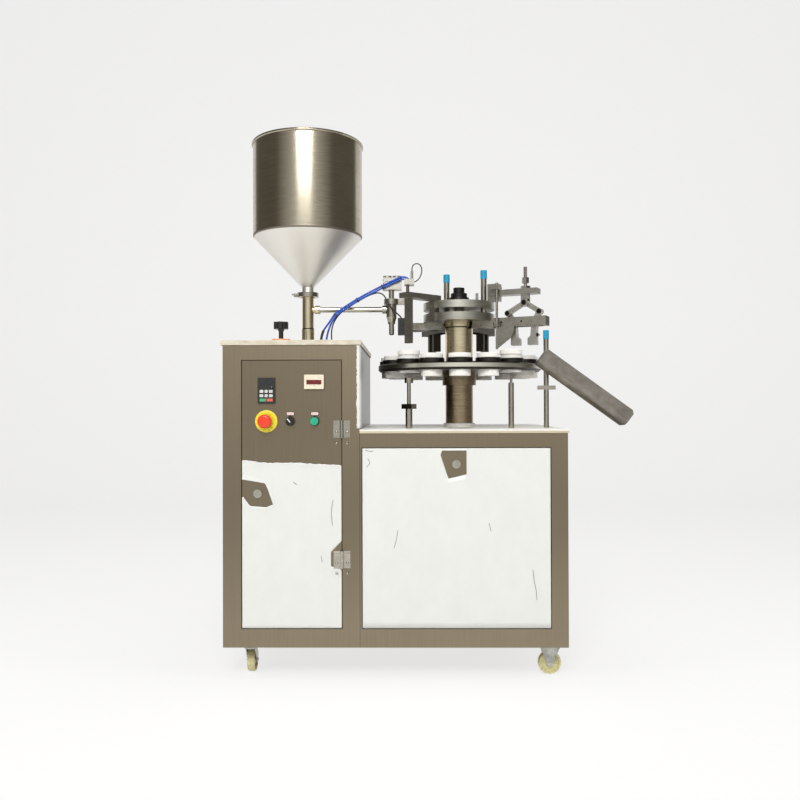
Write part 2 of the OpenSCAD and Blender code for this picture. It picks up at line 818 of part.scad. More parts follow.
// Plate keyed to its press shaft, with two stop bolts and a stepped nut on top
module crosshead() {
    bolt_spots = [[-85, -30], [60, -70]];
    bolt_r = 5;
    bolt_h = 30;
    nut = [[44, 0], [38, 11], [36.5, 23], [30, 23], [30, 38], [20.5, 42], [20.5, 59], [0, 59]];
    shaft_gap = 30;
    shaft_foot = core_foot_z + shaft_gap;
    machine_frame() color(bronze) translate([col_x, col_y, 0]) {
        difference() {
            translate([0, 0, crosshead_z]) cylinder(h = crosshead_t, r = head_plate_r);
            for (p = guide_spots)
                translate([p.x, p.y, crosshead_z - cut]) cylinder(h = crosshead_t + 2 * cut, r = guide_rod_r + fit);
            guide_notch(fit, crosshead_z - cut, crosshead_top + cut);
        }
        translate([0, 0, shaft_foot]) cylinder(h = crosshead_top - shaft_foot, r = press_shaft_r);
        translate([0, 0, crosshead_top - cut]) rotate_extrude()
            polygon(concat([[0, 0]], nut));
        for (p = bolt_spots)
            translate([p.x, p.y, crosshead_top - cut]) {
                cylinder(h = bolt_h, r = bolt_r);
                cylinder(h = bolt_r + cut, r = 2 * bolt_r, $fn = 6);
            }
    }
}

module guide_rods() {
    machine_frame() color(bright) for (p = guide_spots)
        translate([col_x + p.x, col_y + p.y, tool_plate_z])
            cylinder(h = guide_rod_top - tool_plate_z, r = guide_rod_r);
}

// Plastic cap pushed over the end of a rod
module rod_cap(r, top) {
    lid = 2;
    translate([0, 0, top + lid - cap_h]) difference() {
        cylinder(h = cap_h, r = r + cap_wall);
        translate([0, 0, -cut]) cylinder(h = cap_h - lid + cut, r = r + fit);
    }
}

module rod_caps() {
    machine_frame() color(blue_cap) {
        for (p = guide_spots)
            translate([col_x + p.x, col_y + p.y, 0]) rod_cap(guide_rod_r, guide_rod_top);
        translate([chute_post_x, chute_post_y, 0]) rod_cap(chute_post_r, chute_post_top);
    }
}

// Slotted arm under the tool plate
module tool_arm() {
    difference() {
        union() {
            box(arm_root_s, arm_reach, -arm_w / 2, arm_w / 2, arm_z, tool_plate_z);
            box(arm_slot_s0, arm_reach, -arm_w / 2, arm_w / 2, arm_z, arm_z + arm_h);
        }
        box(arm_slot_s0 - cut, arm_slot_s1, -arm_in, arm_in, arm_z - cut, arm_z + arm_h + cut);
    }
}

// Two fixed jaws in an arm's slot, on each side of the tube
module fixed_jaws() {
    jaw_t = 16;
    for (side = [-1, 1])
        translate([cup_pitch_r + side * (jaw_gap + jaw_t / 2), 0, 0])
            box(-jaw_t / 2, jaw_t / 2, -arm_in, arm_in, jaw_z, arm_z + arm_h);
}

module tool_arms() {
    machine_frame() color(bronze) {
        at_station(station_angle(tong_station)) {
            tool_arm();
            for (p = [inner_pivot, outer_pivot])
                y_cylinder(p.x, p.y, -arm_w / 2, arm_w / 2, lever_pin_r);
        }
        for (k = back_stations)
            at_station(station_angle(k)) {
                tool_arm();
                fixed_jaws();
            }
        at_station(station_angle(stub_station))
            box(stub_root_s, stub_reach, -arm_w / 2, arm_w / 2, arm_z, tool_plate_z);
    }
}

// Straight bar between two points, drawn in a plane
module bar2d(a, b, w) {
    d = b - a;
    translate(a) rotate(atan2(d.y, d.x)) translate([0, -w / 2]) square([norm(d), w]);
}

// Bell-crank lever of the tongs: jaw below its pivot, eye above; side +1 is the outer one
module lever(pivot, eye, side) {
    jaw_in = cup_pitch_r + side * jaw_gap;
    jaw_t = 31;
    waist = 10;
    tip_h = 22;
    cheek_y = side > 0 ? -link_t - clear : clear;
    head_y = side > 0 ? link_t + 2 * clear : -link_t - 2 * clear - pin_head_t;
    pin_end = link_t + 2 * clear + pin_head_t;
    difference() {
        union() {
            along_y(-lever_t / 2, lever_t) {
                translate(pivot) circle(boss_r);
                polygon([[pivot.x + side * waist, pivot.y], [jaw_in + side * jaw_t, arm_z - waist],
                    [jaw_in + side * jaw_t, jaw_z], [jaw_in, jaw_z], [jaw_in, jaw_z + tip_h],
                    [jaw_in + side * waist, jaw_z + tip_h + waist], [pivot.x - side * boss_r, pivot.y]]);
            }
            along_y(cheek_y, link_t) {
                translate(eye) circle(eye_r);
                bar2d(pivot, eye, 2 * eye_r - 2);
            }
            y_cylinder(eye.x, eye.y, -pin_end + (side > 0 ? pin_head_t + clear : 0),
                pin_end - (side > 0 ? 0 : pin_head_t + clear), lever_pin_r);
            y_cylinder(eye.x, eye.y, head_y, head_y + pin_head_t, pin_head_r);
        }
        y_cylinder(pivot.x, pivot.y, -lever_t, lever_t, lever_pin_r + fit);
    }
}

module lever_inner() {
    machine_frame() color(satin) at_station(station_angle(tong_station)) lever(inner_pivot, inner_eye, -1);
}

module lever_outer() {
    machine_frame() color(satin) at_station(station_angle(tong_station)) lever(outer_pivot, outer_eye, 1);
}

// Toggle link from the crosshead's clevis to a lever's eye
module link(eye, side) {
    y0 = side > 0 ? clear : -link_t - clear;
    toggle = [toggle_s, toggle_z];
    along_y(y0, link_t) difference() {
        union() {
            translate(toggle) circle(eye_r);
            translate(eye) circle(eye_r);
            bar2d(toggle, eye, 2 * eye_r - 4);
        }
        translate(toggle) circle(toggle_pin_r + fit);
        translate(eye) circle(lever_pin_r + open_pivot_play);
    }
}

module link_inner() {
    machine_frame() color(satin) at_station(station_angle(tong_station)) link(inner_eye, -1);
}

module link_outer() {
    machine_frame() color(satin) at_station(station_angle(tong_station)) link(outer_eye, 1);
}

// Block, bar and threaded stud that ride on the crosshead above the tongs
module press_arm() {
    block_w = 34;
    stud_r = 6;
    stud_h = 78;
    nut_r = 13;
    washer_r = 18;
    nut_h = 10;
    box(press_block_s0, press_block_s1, -block_w / 2, block_w / 2, crosshead_top, crosshead_top + press_block_h);
    box(press_block_s0 + nut_h, press_bar_end, -arm_w / 2, arm_w / 2, press_bar_z, press_bar_z + press_bar_h);
    translate([toggle_s, 0, press_bar_z + press_bar_h]) {
        cylinder(h = stud_h, r = stud_r);
        cylinder(h = nut_h, r = washer_r, $fn = 6);
        translate([0, 0, 2 * nut_h]) cylinder(h = 2 * nut_h, r = nut_r, $fn = 6);
    }
}

// Flat bar on the crosshead, guided in the tool plate's notch, with a plunger over the left cup
module plunger_arm() {
    half_t = 8;
    half_w = 13;
    foot_rise = 40;
    plunger_foot = turntable_top + seat_ring_h + cup_flange_t + foot_rise;
    guide_drop = 5;
    box(guide_s0, left_bar_end, -arm_w / 2, arm_w / 2, crosshead_top, crosshead_top + left_bar_h);
    box(guide_s0, guide_s1, -guide_w / 2, guide_w / 2, tool_plate_z - guide_drop, crosshead_top + cut);
    box(cup_pitch_r - half_t, cup_pitch_r + half_t, -half_w, half_w, plunger_foot, crosshead_top + cut);
}

// Clevis under the press bar that holds the toggle pin
module clevis() {
    cheek_in = link_t + 2 * clear;
    cheek_edge = 2;
    bridge_gap = 3;
    cheek_out = arm_w / 2 - cheek_edge;
    bridge_z = toggle_z + eye_r + bridge_gap;
    difference() {
        box(toggle_s - eye_r, toggle_s + eye_r, -cheek_out, cheek_out, toggle_z - eye_r, press_bar_z);
        box(toggle_s - eye_r - cut, toggle_s + eye_r + cut, -cheek_in, cheek_in, toggle_z - eye_r - cut, bridge_z);
    }
    y_cylinder(toggle_s, toggle_z, -cheek_out, cheek_out, toggle_pin_r);
}

// Tube deflector: a kite-shaped plate on a hanging rod beside the tongs
module deflector() {
    rod_edge = 7;
    rod_s = press_block_s1;
    collar_r = 13;
    collar_h = 13;
    rod_t = -arm_w / 2 - collar_r;
    rod_r = 4.5;
    lug = 12;
    lug_z = crosshead_top + press_block_h - 2 * lug;
    foot_drop = 13;
    foot_z = jaw_z - foot_drop;
    plate_drop = 2;
    plate_z = arm_z - plate_drop;
    kite = [[0, 0], [64, 3], [60, -20], [48, -42]];
    plate_t = 2;
    box(press_block_s0 + lug, rod_s + rod_edge, rod_t - rod_edge, 0, lug_z, lug_z + lug);
    translate([rod_s, rod_t, foot_z]) cylinder(h = lug_z + 2 * lug - foot_z, r = rod_r);
    translate([rod_s, rod_t, plate_z + rod_r]) cylinder(h = collar_h, r = collar_r, $fn = 6);
    along_y(rod_t - plate_t / 2, plate_t)
        polygon(concat([for (p = kite) [rod_s + p.x, plate_z + p.y]], [[rod_s, foot_z]]));
}

module press_arms() {
    machine_frame() color(bright) {
        at_station(station_angle(tong_station)) {
            press_arm();
            clevis();
            deflector();
        }
        at_station(station_angle(left_station)) plunger_arm();
    }
}

// Bar under the tool plate with an upright that carries the filling head, the sensor and a rod
module fill_bracket() {
    bar_w = 20;
    ring_t = 8;
    shelf_z = crosshead_top;
    shelf_h = 20;
    rod_r = 6;
    machine_frame() color(bronze) at_station(station_angle(fill_station)) difference() {
        union() {
            box(arm_root_s, bar_s1, -bar_w / 2, bar_w / 2, arm_z, tool_plate_z);
            box(bar_s0, bar_s1, -bar_w / 2, bar_w / 2, bar_z0, bar_z1);
            box(bar_s0, cup_pitch_r, -bar_w / 2, bar_w / 2, shelf_z, shelf_z + shelf_h);
            translate([cup_pitch_r, 0, shelf_z]) cylinder(h = shelf_h, r = fill_head_r + ring_t);
            translate([(bar_s0 + bar_s1) / 2, 0, bar_z1]) cylinder(h = manifold_z - bar_z1, r = rod_r);
        }
        translate([cup_pitch_r, 0, shelf_z - cut]) cylinder(h = shelf_h + 2 * cut, r = fill_head_r + fit);
    }
}

module filling_head() {
    collar_h = 6;
    collar_t = 2;
    taper_z = fill_body_z0 + 18;
    bore = 5;
    machine_frame() color(bright) translate([fill_x, fill_y, 0]) rotate_extrude()
        polygon([[bore, nozzle_z], [nozzle_r - 2, nozzle_z], [nozzle_r, nozzle_z + 4], [nozzle_r, fill_body_z0 - 8],
            [nozzle_r + 4, fill_body_z0 - 8], [nozzle_r + 4, fill_body_z0], [fill_head_r, taper_z],
            [fill_head_r, fill_body_z1 - collar_h], [fill_stem_r, fill_body_z1], [fill_stem_r, cylinder_z],
            [0, cylinder_z], [0, fill_body_z1], [bore, fill_body_z1]]);
}

// Air cylinder over the filling head, and the hose manifold on its rod
module fill_cylinder() {
    body_w = 70;
    body_d = 44;
    body_h = 44;
    rib_h = 8;
    offset_x = 3;
    x0 = fill_x + offset_x - body_w / 2;
    port_r = 9;
    machine_frame() color(bright) {
        difference() {
            union() {
                box(x0, x0 + body_w, fill_y - body_d / 2, fill_y + body_d / 2, cylinder_z, cylinder_z + body_h);
                for (k = [0:1])
                    translate([x0 + body_w * (0.25 + 0.5 * k), fill_y, cylinder_z + body_h])
                        cylinder(h = rib_h, r = body_d / 2 - 6);
            }
            for (k = [0:2])
                box(x0 - cut, x0 + 4, fill_y - body_d / 2 - cut, fill_y + body_d / 2 + cut,
                    cylinder_z + 8 + 12 * k, cylinder_z + 12 + 12 * k);
            for (s = [0, 1])
                y_cylinder(x0 + 14 + 42 * s, cylinder_z + body_h / 2, fill_y - body_d / 2 - cut,
                    fill_y - body_d / 2 + 3, port_r);
        }
        hose_manifold();
    }
}

// Distribution block on the upright's rod, with a flow valve
module hose_manifold() {
    valve_r = 5;
    valve_h = 34;
    box(manifold_x0, manifold_x1, manifold_y0, manifold_y1, manifold_z, hose_end_z);
    translate([manifold_x1 - 8, manifold_y1 - 10, hose_end_z - cut]) {
        cylinder(h = valve_h, r = valve_r);
        cylinder(h = valve_h / 4, r = valve_r + 2, $fn = 6);
        translate([0, 0, valve_h - cut]) cylinder(h = valve_r, r = valve_r - 1);
    }
}

module tube_sensor() {
    body_w = 25;
    body_d = 20;
    body_h = 63;
    top_z = bar_z0 + body_h - 4;
    lens_r = 4;
    machine_frame() color(black_plastic) at_station(station_angle(fill_station)) difference() {
        box(bar_s1, bar_s1 + body_w, -body_d / 2, body_d / 2, top_z - body_h, top_z);
        for (k = [0:2])
            y_cylinder(bar_s1 + body_w / 2, top_z - 14 - 16 * k, body_d / 2 - 2, body_d, lens_r);
    }
}

module product_tee() {
    foot_r = neck_r + 2;
    wall = 2;
    outlet_r = pipe_r + 2;
    union_t = 12;
    outlet_x = neck_r + outlet_l;
    machine_frame() color(bright) translate([hopper_x, fill_y, 0]) difference() {
        union() {
            rotate_extrude() polygon([[0, cover_z], [foot_r, cover_z], [foot_r, tee_step_z], [neck_r, tee_step_z],
                [neck_r, joint_z - ferrule_t], [ferrule_r, joint_z - ferrule_t], [ferrule_r, joint_z], [0, joint_z]]);
            translate([0, 0, pipe_z]) rotate([0, 90, 0]) cylinder(h = outlet_x, r = outlet_r);
            translate([outlet_x - union_t, 0, pipe_z]) rotate([0, 90, 0]) cylinder(h = union_t, r = union_r);
        }
        translate([0, 0, cover_z - cut]) cylinder(h = joint_z - cover_z + 2 * cut, r = neck_r - wall);
        translate([0, 0, pipe_z]) rotate([0, 90, 0]) cylinder(h = outlet_x + cut, r = pipe_r - wall);
    }
}

// Pipe from the tee to the filling head; it slopes where the two are set at different heights
module product_pipe() {
    wall = 2;
    union_t = 14;
    x0 = hopper_x + neck_r + outlet_l;
    run = fill_x - x0;
    rise = fill_entry_z - pipe_z;
    tilt = atan2(rise, run);
    length = norm([run, rise]);
    machine_frame() color(bright) difference() {
        union() {
            translate([x0, fill_y, pipe_z]) rotate([0, 90, 0]) cylinder(h = union_t / 2, r = union_r);
            translate([x0, fill_y, pipe_z]) rotate([0, 90 - tilt, 0]) {
                cylinder(h = length, r = pipe_r);
                translate([0, 0, length - fill_head_r - union_t]) cylinder(h = union_t, r = union_r);
            }
        }
        translate([x0, fill_y, pipe_z]) rotate([0, 90 - tilt, 0]) translate([0, 0, -cut])
            cylinder(h = length + cut, r = pipe_r - wall);
        translate([fill_x, fill_y, fill_body_z0])
            cylinder(h = fill_body_z1 - fill_body_z0, r = fill_head_r + fit);
        translate([x0, fill_y, pipe_z]) rotate([0, -90, 0]) cylinder(h = union_r, r = 2 * union_r);
    }
}

module hopper_clamp() {
    lip = 2;
    band = 7;
    reach = 6;
    ear = 16;
    wing_r = 13;
    machine_frame() color(bright) translate([hopper_x, fill_y, joint_z]) {
        rotate_extrude() polygon([[ferrule_r - reach, -ferrule_t - lip], [ferrule_r + band, -ferrule_t - lip],
            [ferrule_r + band, ferrule_t + lip], [ferrule_r - reach, ferrule_t + lip],
            [ferrule_r - reach, ferrule_t], [ferrule_r + fit, ferrule_t], [ferrule_r + fit, -ferrule_t],
            [ferrule_r - reach, -ferrule_t]]);
        translate([-ferrule_r - band - ear + 3, -ear / 2, -ferrule_t]) cube([ear, ear, 2 * ferrule_t]);
        translate([-ferrule_r - band - ear / 2 + 3, -ear / 2, 0]) rotate([90, 0, 0]) {
            cylinder(h = ear, r = 4);
            translate([-wing_r, -3, ear - 6]) cube([2 * wing_r, 6, 6]);
        }
    }
}

module hopper() {
    machine_frame() color(satin) translate([hopper_x, fill_y, 0]) {
        rotate_extrude($fn = 96) polygon([[neck_r - hopper_wall, joint_z], [ferrule_r, joint_z],
            [ferrule_r, joint_z + ferrule_t], [neck_r, joint_z + ferrule_t], [neck_r, cone_z],
            [hopper_r, cyl_z], [hopper_r, rim_z - rim_r], [hopper_r - hopper_wall, rim_z - rim_r],
            [hopper_r - hopper_wall, cyl_z + cut], [neck_r - hopper_wall, cone_z + cut]]);
        rotate_extrude($fn = 96) translate([hopper_r, rim_z - rim_r]) circle(rim_r, $fn = 24);
    }
}

module knob_base() {
    r = 36;
    h = 15;
    machine_frame() color(salmon) translate([knob_x, knob_y, cover_z]) difference() {
        cylinder(h = h, r1 = r, r2 = r - 4);
        translate([0, 0, -cut]) cylinder(h = h + 2 * cut, r = knob_shaft_r + fit);
    }
}

// Star knob on a threaded shaft, for the filling volume
module dose_knob() {
    grip_r = 25;
    grip_h = 24;
    lobe_r = 7;
    lobes = 6;
    shaft_h = 50;
    machine_frame() color(black_plastic) translate([knob_x, knob_y, cover_z]) {
        translate([0, 0, clear]) cylinder(h = shaft_h, r = knob_shaft_r);
        translate([0, 0, shaft_h - 10]) cylinder(h = 10, r1 = knob_shaft_r, r2 = grip_r / 2);
        translate([0, 0, shaft_h]) difference() {
            cylinder(h = grip_h, r = grip_r);
            for (k = [0:lobes - 1])
                rotate([0, 0, k * 360 / lobes]) translate([grip_r + 2, 0, -cut])
                    cylinder(h = grip_h + 2 * cut, r = lobe_r, $fn = 24);
        }
    }
}

module chute_post() {
    clamp_w = 62;
    clamp_d = 20;
    clamp_h = 14;
    clamp_lift = 131;
    clamp_rise_z = table_z + clamp_lift;
    machine_frame() color(bright) translate([chute_post_x, chute_post_y, 0]) {
        translate([0, 0, table_z]) cylinder(h = chute_post_top - table_z, r = chute_post_r);
        translate([-clamp_w / 2, -clamp_d / 2, clamp_rise_z]) cube([clamp_w, clamp_d, clamp_h]);
    }
}

// Trough section: round bottom, straight sides
module trough2d(r, top) {
    circle(r);
    translate([-r, 0]) square([2 * r, top]);
}

module chute() {
    r = chute_w / 2;
    block_w = 30;
    block_h = 18;
    block_edge = 5;
    block_z = chute_z - tan(chute_slope) * (chute_post_x - chute_x) - block_h / 2;
    machine_frame() color(grey_paint) difference() {
        union() {
            translate([chute_x, chute_y, chute_z]) rotate([0, chute_slope, 0]) intersection() {
                rotate([90, 0, 90]) linear_extrude(chute_l) difference() {
                    trough2d(r, r);
                    trough2d(r - chute_wall, r + cut);
                }
                along_y(-r - cut, chute_w + 2 * cut)
                    polygon([[0, -r], [chute_l - chute_corner, -r], [chute_l, chute_corner - r],
                        [chute_l, r - chute_corner], [chute_l - chute_corner, r], [0, r]]);
            }
            box(chute_post_x - block_w / 2, chute_post_x + block_w / 2, chute_y + r - chute_wall / 2,
                chute_post_y + chute_post_r + block_edge, block_z, block_z + block_h);
        }
        translate([chute_post_x, chute_post_y, block_z - cut])
            cylinder(h = block_h + 2 * cut, r = chute_post_r + fit);
    }
}

// Side leg of a caster fork, drawn along the trail and upwards
module fork_leg2d(trail, top_w) {
    foot_r = 11;
    translate([trail, axle_z]) circle(foot_r);
    polygon([[-top_w / 2, crown_z], [top_w / 2, crown_z], [trail + foot_r, axle_z], [trail - foot_r, axle_z]]);
}

// Legs and axle of a caster fork with its axle along local Y
module fork_legs(trail, top_w) {
    for (side = [-1, 1])
        along_y(side * (fork_inner / 2 + fork_leg_t / 2) - fork_leg_t / 2, fork_leg_t) fork_leg2d(trail, top_w);
    y_cylinder(trail, axle_z, -fork_inner / 2 - fork_leg_t - 3, fork_inner / 2 + fork_leg_t + 3, axle_r);
}

// Mounting plate of a caster
module caster_plate() {
    plate_l = 92;
    plate_w = 72;
    translate([-plate_l / 2, -plate_w / 2, caster_h - plate_t]) cube([plate_l, plate_w, plate_t]);
}

module caster_mounts() {
    rigid_top_w = 64;
    machine_frame() color(bright) {
        for (y = [caster_y0, caster_y1]) {
            translate([caster_x0, y, 0]) difference() {
                union() {
                    caster_plate();
                    translate([0, 0, caster_h - plate_t - race_h]) cylinder(h = race_h, r = race_r);
                }
                translate([0, 0, crown_z - cut]) cylinder(h = caster_h - crown_z - plate_t / 2, r = king_pin_r + fit);
            }
            translate([caster_x1, y, 0]) {
                caster_plate();
                fork_legs(0, rigid_top_w);
                translate([-rigid_top_w / 2, -fork_inner / 2 - fork_leg_t, crown_z - crown_t])
                    cube([rigid_top_w, fork_inner + 2 * fork_leg_t, caster_h - plate_t - crown_z + crown_t]);
            }
        }
    }
}

// Fork of a swivelling caster, trailing towards the rear
module swivel_fork(y) {
    machine_frame() color(bright) translate([caster_x0, y, 0]) rotate([0, 0, 90]) {
        translate([0, 0, crown_z - crown_t]) cylinder(h = crown_t, r = race_r);
        translate([0, 0, crown_z - crown_t]) cylinder(h = crown_t + race_h, r = king_pin_r);
        fork_legs(caster_trail, 1.5 * race_r);
    }
}

module swivel_fork_front() {
    swivel_fork(caster_y0);
}

module swivel_fork_rear() {
    swivel_fork(caster_y1);
}

// Caster wheel about its axle: crowned tread, recessed web, hub
module caster_wheel() {
    tread = 9;
    web = wheel_w / 2 - 6;
    hub_r = 12;
    half = wheel_w / 2;
    crown = 2;
    r = wheel_d / 2;
    rotate([90, 0, 0]) rotate_extrude() polygon([[axle_r + fit, -half], [hub_r, -half], [hub_r + 2, -web],
        [r - tread, -web], [r - tread + 2, -half], [r - crown, -half], [r, -half / 2], [r, half / 2],
        [r - crown, half], [r - tread + 2, half], [r - tread, web], [hub_r + 2, web], [hub_r, half],
        [axle_r + fit, half]]);
}

module swivel_wheel(y) {
    machine_frame() color(cream) translate([caster_x0, y + caster_trail, axle_z]) rotate([0, 0, 90]) caster_wheel();
}

module rigid_wheel(y) {
    machine_frame() color(cream) translate([caster_x1, y, axle_z]) caster_wheel();
}

module wheel_front_left() {
    swivel_wheel(caster_y0);
}

module wheel_rear_left() {
    swivel_wheel(caster_y1);
}

module wheel_front_right() {
    rigid_wheel(caster_y0);
}

module wheel_rear_right() {
    rigid_wheel(caster_y1);
}

// Index gearbox on a welded stand, with a recess for the column's foot
module index_drive() {
    floor_z = base_z + sheet_t;
    stand_w = 260;
    leg = 40;
    top_t = 15;
    flange_h = 20;
    machine_frame() color(grey_paint) translate([col_x, col_y, 0]) difference() {
        union() {
            for (sx = [-1, 1], sy = [-1, 1])
                translate([sx * (stand_w - leg) / 2 - leg / 2, sy * (stand_w - leg) / 2 - leg / 2, floor_z])
                    cube([leg, leg, stand_z - floor_z + cut]);
            box(-stand_w / 2, stand_w / 2, -stand_w / 2, stand_w / 2, stand_z, stand_z + top_t);
            box(-gear_w / 2, gear_w / 2, -gear_w / 2, gear_w / 2, stand_z + top_t - cut, index_top - flange_h);
            translate([0, 0, index_top - flange_h - cut]) cylinder(h = flange_h + cut, r = gear_w / 2 - 15);
        }
        translate([0, 0, core_foot_z]) cylinder(h = index_top - core_foot_z + cut, r = column_r + fit);
    }
}

module drive_motor() {
    motor_r = 55;
    motor_l = 190;
    flange_r = 70;
    flange_t = 12;
    fan_l = 40;
    shaft_z = (index_top + stand_z) / 2;
    box_w = 60;
    machine_frame() color(dark_steel) translate([col_x - gear_w / 2, col_y, shaft_z]) rotate([0, -90, 0]) {
        cylinder(h = flange_t, r = flange_r);
        cylinder(h = motor_l, r = motor_r);
        translate([0, 0, motor_l - cut]) cylinder(h = fan_l, r = motor_r - 4);
        translate([0, -box_w / 2, motor_l / 2 - box_w / 2]) cube([motor_r + 22, box_w, box_w]);
    }
}

// Dosing cylinder that hangs under the roof below the tee
module dosing_cylinder() {
    roof_z = tower_wall_z - sheet_t;
    body_r = 32;
    body_h = 260;
    flange_r = 48;
    flange_t = 10;
    rod_r = 9;
    rod_h = 90;
    machine_frame() color(bright) translate([hopper_x, fill_y, roof_z]) {
        translate([0, 0, -flange_t]) cylinder(h = flange_t, r = flange_r);
        translate([0, 0, -body_h]) cylinder(h = body_h - cut, r = body_r);
        translate([0, 0, -body_h - flange_t]) cylinder(h = flange_t + cut, r = body_r + 5);
        translate([0, 0, -body_h - rod_h]) cylinder(h = rod_h, r = rod_r);
    }
}

// Back plate with contactors and a drive, on the left wall
module electrics_plate() {
    wall_x = left_x + sheet_t;
    t = 3;
    y0 = 220;
    y1 = 540;
    z0 = base_z + 380;
    z1 = base_z + 780;
    unit_w = 42;
    machine_frame() color(satin) {
        box(wall_x, wall_x + t, y0, y1, z0, z1);
        for (k = [0:4])
            box(wall_x + t - cut, wall_x + 75, y0 + 30 + k * (unit_w + 10), y0 + 30 + k * (unit_w + 10) + unit_w,
                z0 + 60, z0 + 140);
        box(wall_x + t - cut, wall_x + 110, y0 + 40, y0 + 160, z0 + 200, z0 + 360);
        box(wall_x + t - cut, wall_x + 60, y0 + 190, y0 + 280, z0 + 230, z0 + 330);
    }
}

// Switch bodies in the door: collars on the face, barrels and contact blocks behind
module switch_bodies() {
    block = 30;
    block_d = 40;
    plate_w = 26;
    plate_h = 12;
    machine_frame() color(black_plastic) difference() {
        union() {
            y_cylinder(estop_x, switch_z, -estop_disc_t, 0, estop_disc_r);
            y_cylinder(estop_x, switch_z, -estop_disc_t - estop_collar_t, -estop_disc_t, estop_head_r - 4);
            for (x = [selector_x, start_x]) {
                y_cylinder(x, switch_z, -collar_t, 0, collar_r);
                box(x - plate_w / 2, x + plate_w / 2, -cut, 0, switch_z + collar_r + 3,
                    switch_z + collar_r + 3 + plate_h);
                box(x - 5, x + 5, -cut, 0, switch_z + collar_r - 3, switch_z + collar_r + 5);
            }
            for (x = [estop_x, selector_x, start_x]) {
                y_cylinder(x, switch_z, -cut, leaf_sheet + 8, switch_hole_r - fit);
                y_cylinder(x, switch_z, leaf_sheet, leaf_sheet + 5, switch_hole_r + 3);
                box(x - block / 2, x + block / 2, leaf_sheet + 7, leaf_sheet + 7 + block_d,
                    switch_z - block / 2, switch_z + block / 2);
            }
        }
        y_cylinder(estop_x, switch_z, -estop_disc_t - estop_collar_t - cut, leaf_sheet + 5, stem_r + fit);
        for (x = [selector_x, start_x])
            y_cylinder(x, switch_z, -collar_t - cut, leaf_sheet + 5, stem_r + fit);
    }
}

module estop_button() {
    front = estop_disc_t + estop_collar_t + estop_gap;
    dome = 8;
    machine_frame() color(red) translate([estop_x, 0, switch_z]) rotate([90, 0, 0]) {
        cylinder(h = front + cut, r = stem_r);
        translate([0, 0, front]) rotate_extrude() {
            square([estop_head_r, estop_head_h - dome]);
            polygon([[0, estop_head_h - dome], [estop_head_r, estop_head_h - dome],
                for (a = [0:15:90]) [estop_head_r - dome * (1 - cos(a)), estop_head_h - dome * (1 - sin(a))],
                [0, estop_head_h]]);
        }
    }
}

module selector_knob() {
    bar_l = 24;
    bar_w = 9;
    bar_h = 14;
    turn = -40;
    machine_frame() color(black_plastic) translate([selector_x, 0, switch_z]) rotate([90, turn, 0]) {
        cylinder(h = collar_t + 2, r = stem_r);
        translate([0, 0, collar_t + clear]) cylinder(h = 3, r = collar_r - 3);
        translate([-bar_w / 2, -bar_l / 2, collar_t + clear]) cube([bar_w, bar_l, bar_h]);
    }
}

module start_button() {
    cap_t = 6;
    travel_gap = 4;
    machine_frame() color(green) translate([start_x, 0, switch_z]) rotate([90, 0, 0]) {
        cylinder(h = collar_t + travel_gap + cut, r = stem_r);
        translate([0, 0, collar_t + travel_gap]) cylinder(h = cap_t, r = collar_r - 2);
    }
}

// Keypad of the speed drive and the pulse counter, both set in the door
module panel_instruments() {
    body_d = 60;
    key_w = 10;
    key_h = 9;
    key_step = 5;
    key_at = [8, 7];
    dial_at = [14, 32];
    dial_r = 6;
    dial_t = 4;
    screen_side = 8;
    screen_drop = 24;
    window_side = 7.5;
    window_z0 = 14.5;
    window_z1 = 29;
    machine_frame() color(black_plastic) {
        difference() {
            union() {
                box(keypad_x, keypad_x + keypad_w, -bezel_t, 0, keypad_z, keypad_z + keypad_h);
                box(keypad_x + bezel_t + clear, keypad_x + keypad_w - bezel_t - clear, -cut, body_d,
                    keypad_z + bezel_t + clear, keypad_z + keypad_h - bezel_t - clear);
                for (i = [0:2], j = [0:2])
                    translate([keypad_x + key_at.x + i * (key_w + key_step), -bezel_t - cut,
                        keypad_z + key_at.y + j * (key_h + key_step)])
                        cube([key_w, 2 * cut, key_h]);
                y_cylinder(keypad_x + keypad_w - dial_at.x, keypad_z + keypad_h - dial_at.y, -bezel_t - dial_t,
                    cut - bezel_t, dial_r);
            }
            box(keypad_x + screen_side, keypad_x + keypad_w - screen_side, -bezel_t - cut, cut - bezel_t,
                keypad_z + keypad_h - screen_drop, keypad_z + keypad_h - screen_side);
        }
        difference() {
            union() {
                box(counter_x, counter_x + counter_w, -bezel_t, 0, counter_z, counter_z + counter_h);
                box(counter_x + bezel_t + clear, counter_x + counter_w - bezel_t - clear, -cut, body_d,
                    counter_z + bezel_t + clear, counter_z + counter_h - bezel_t - clear);
            }
            box(counter_x + window_side, counter_x + counter_w - window_side, -bezel_t - cut, cut - bezel_t,
                counter_z + window_z0, counter_z + window_z1);
        }
    }
}

// Ring of points round a route's point, square to the route
function route_dir(pts, i) =
    let (a = pts[max(i - 1, 0)], b = pts[min(i + 1, len(pts) - 1)]) (b - a) / norm(b - a);
function ring_points(c, d, r, n) =
    let (side = cross(d, [0, 1, 0]), u = side / norm(side), v = cross(u, d))
    [for (k = [0:n - 1]) c + r * (cos(360 * k / n) * u + sin(360 * k / n) * v)];

// Plain tube swept along a route
module hose(pts, diameter) {
    sides = 8;
    rings = len(pts);
    points = [for (i = [0:rings - 1]) each ring_points(pts[i], route_dir(pts, i), diameter / 2, sides)];
    walls = [for (i = [0:rings - 2], k = [0:sides - 1])
        [i * sides + k, (i + 1) * sides + k, (i + 1) * sides + (k + 1) % sides, i * sides + (k + 1) % sides]];
    ends = [[for (k = [0:sides - 1]) k], [for (k = [sides - 1:-1:0]) (rings - 1) * sides + k]];
    polyhedron(points, concat(walls, ends));
}

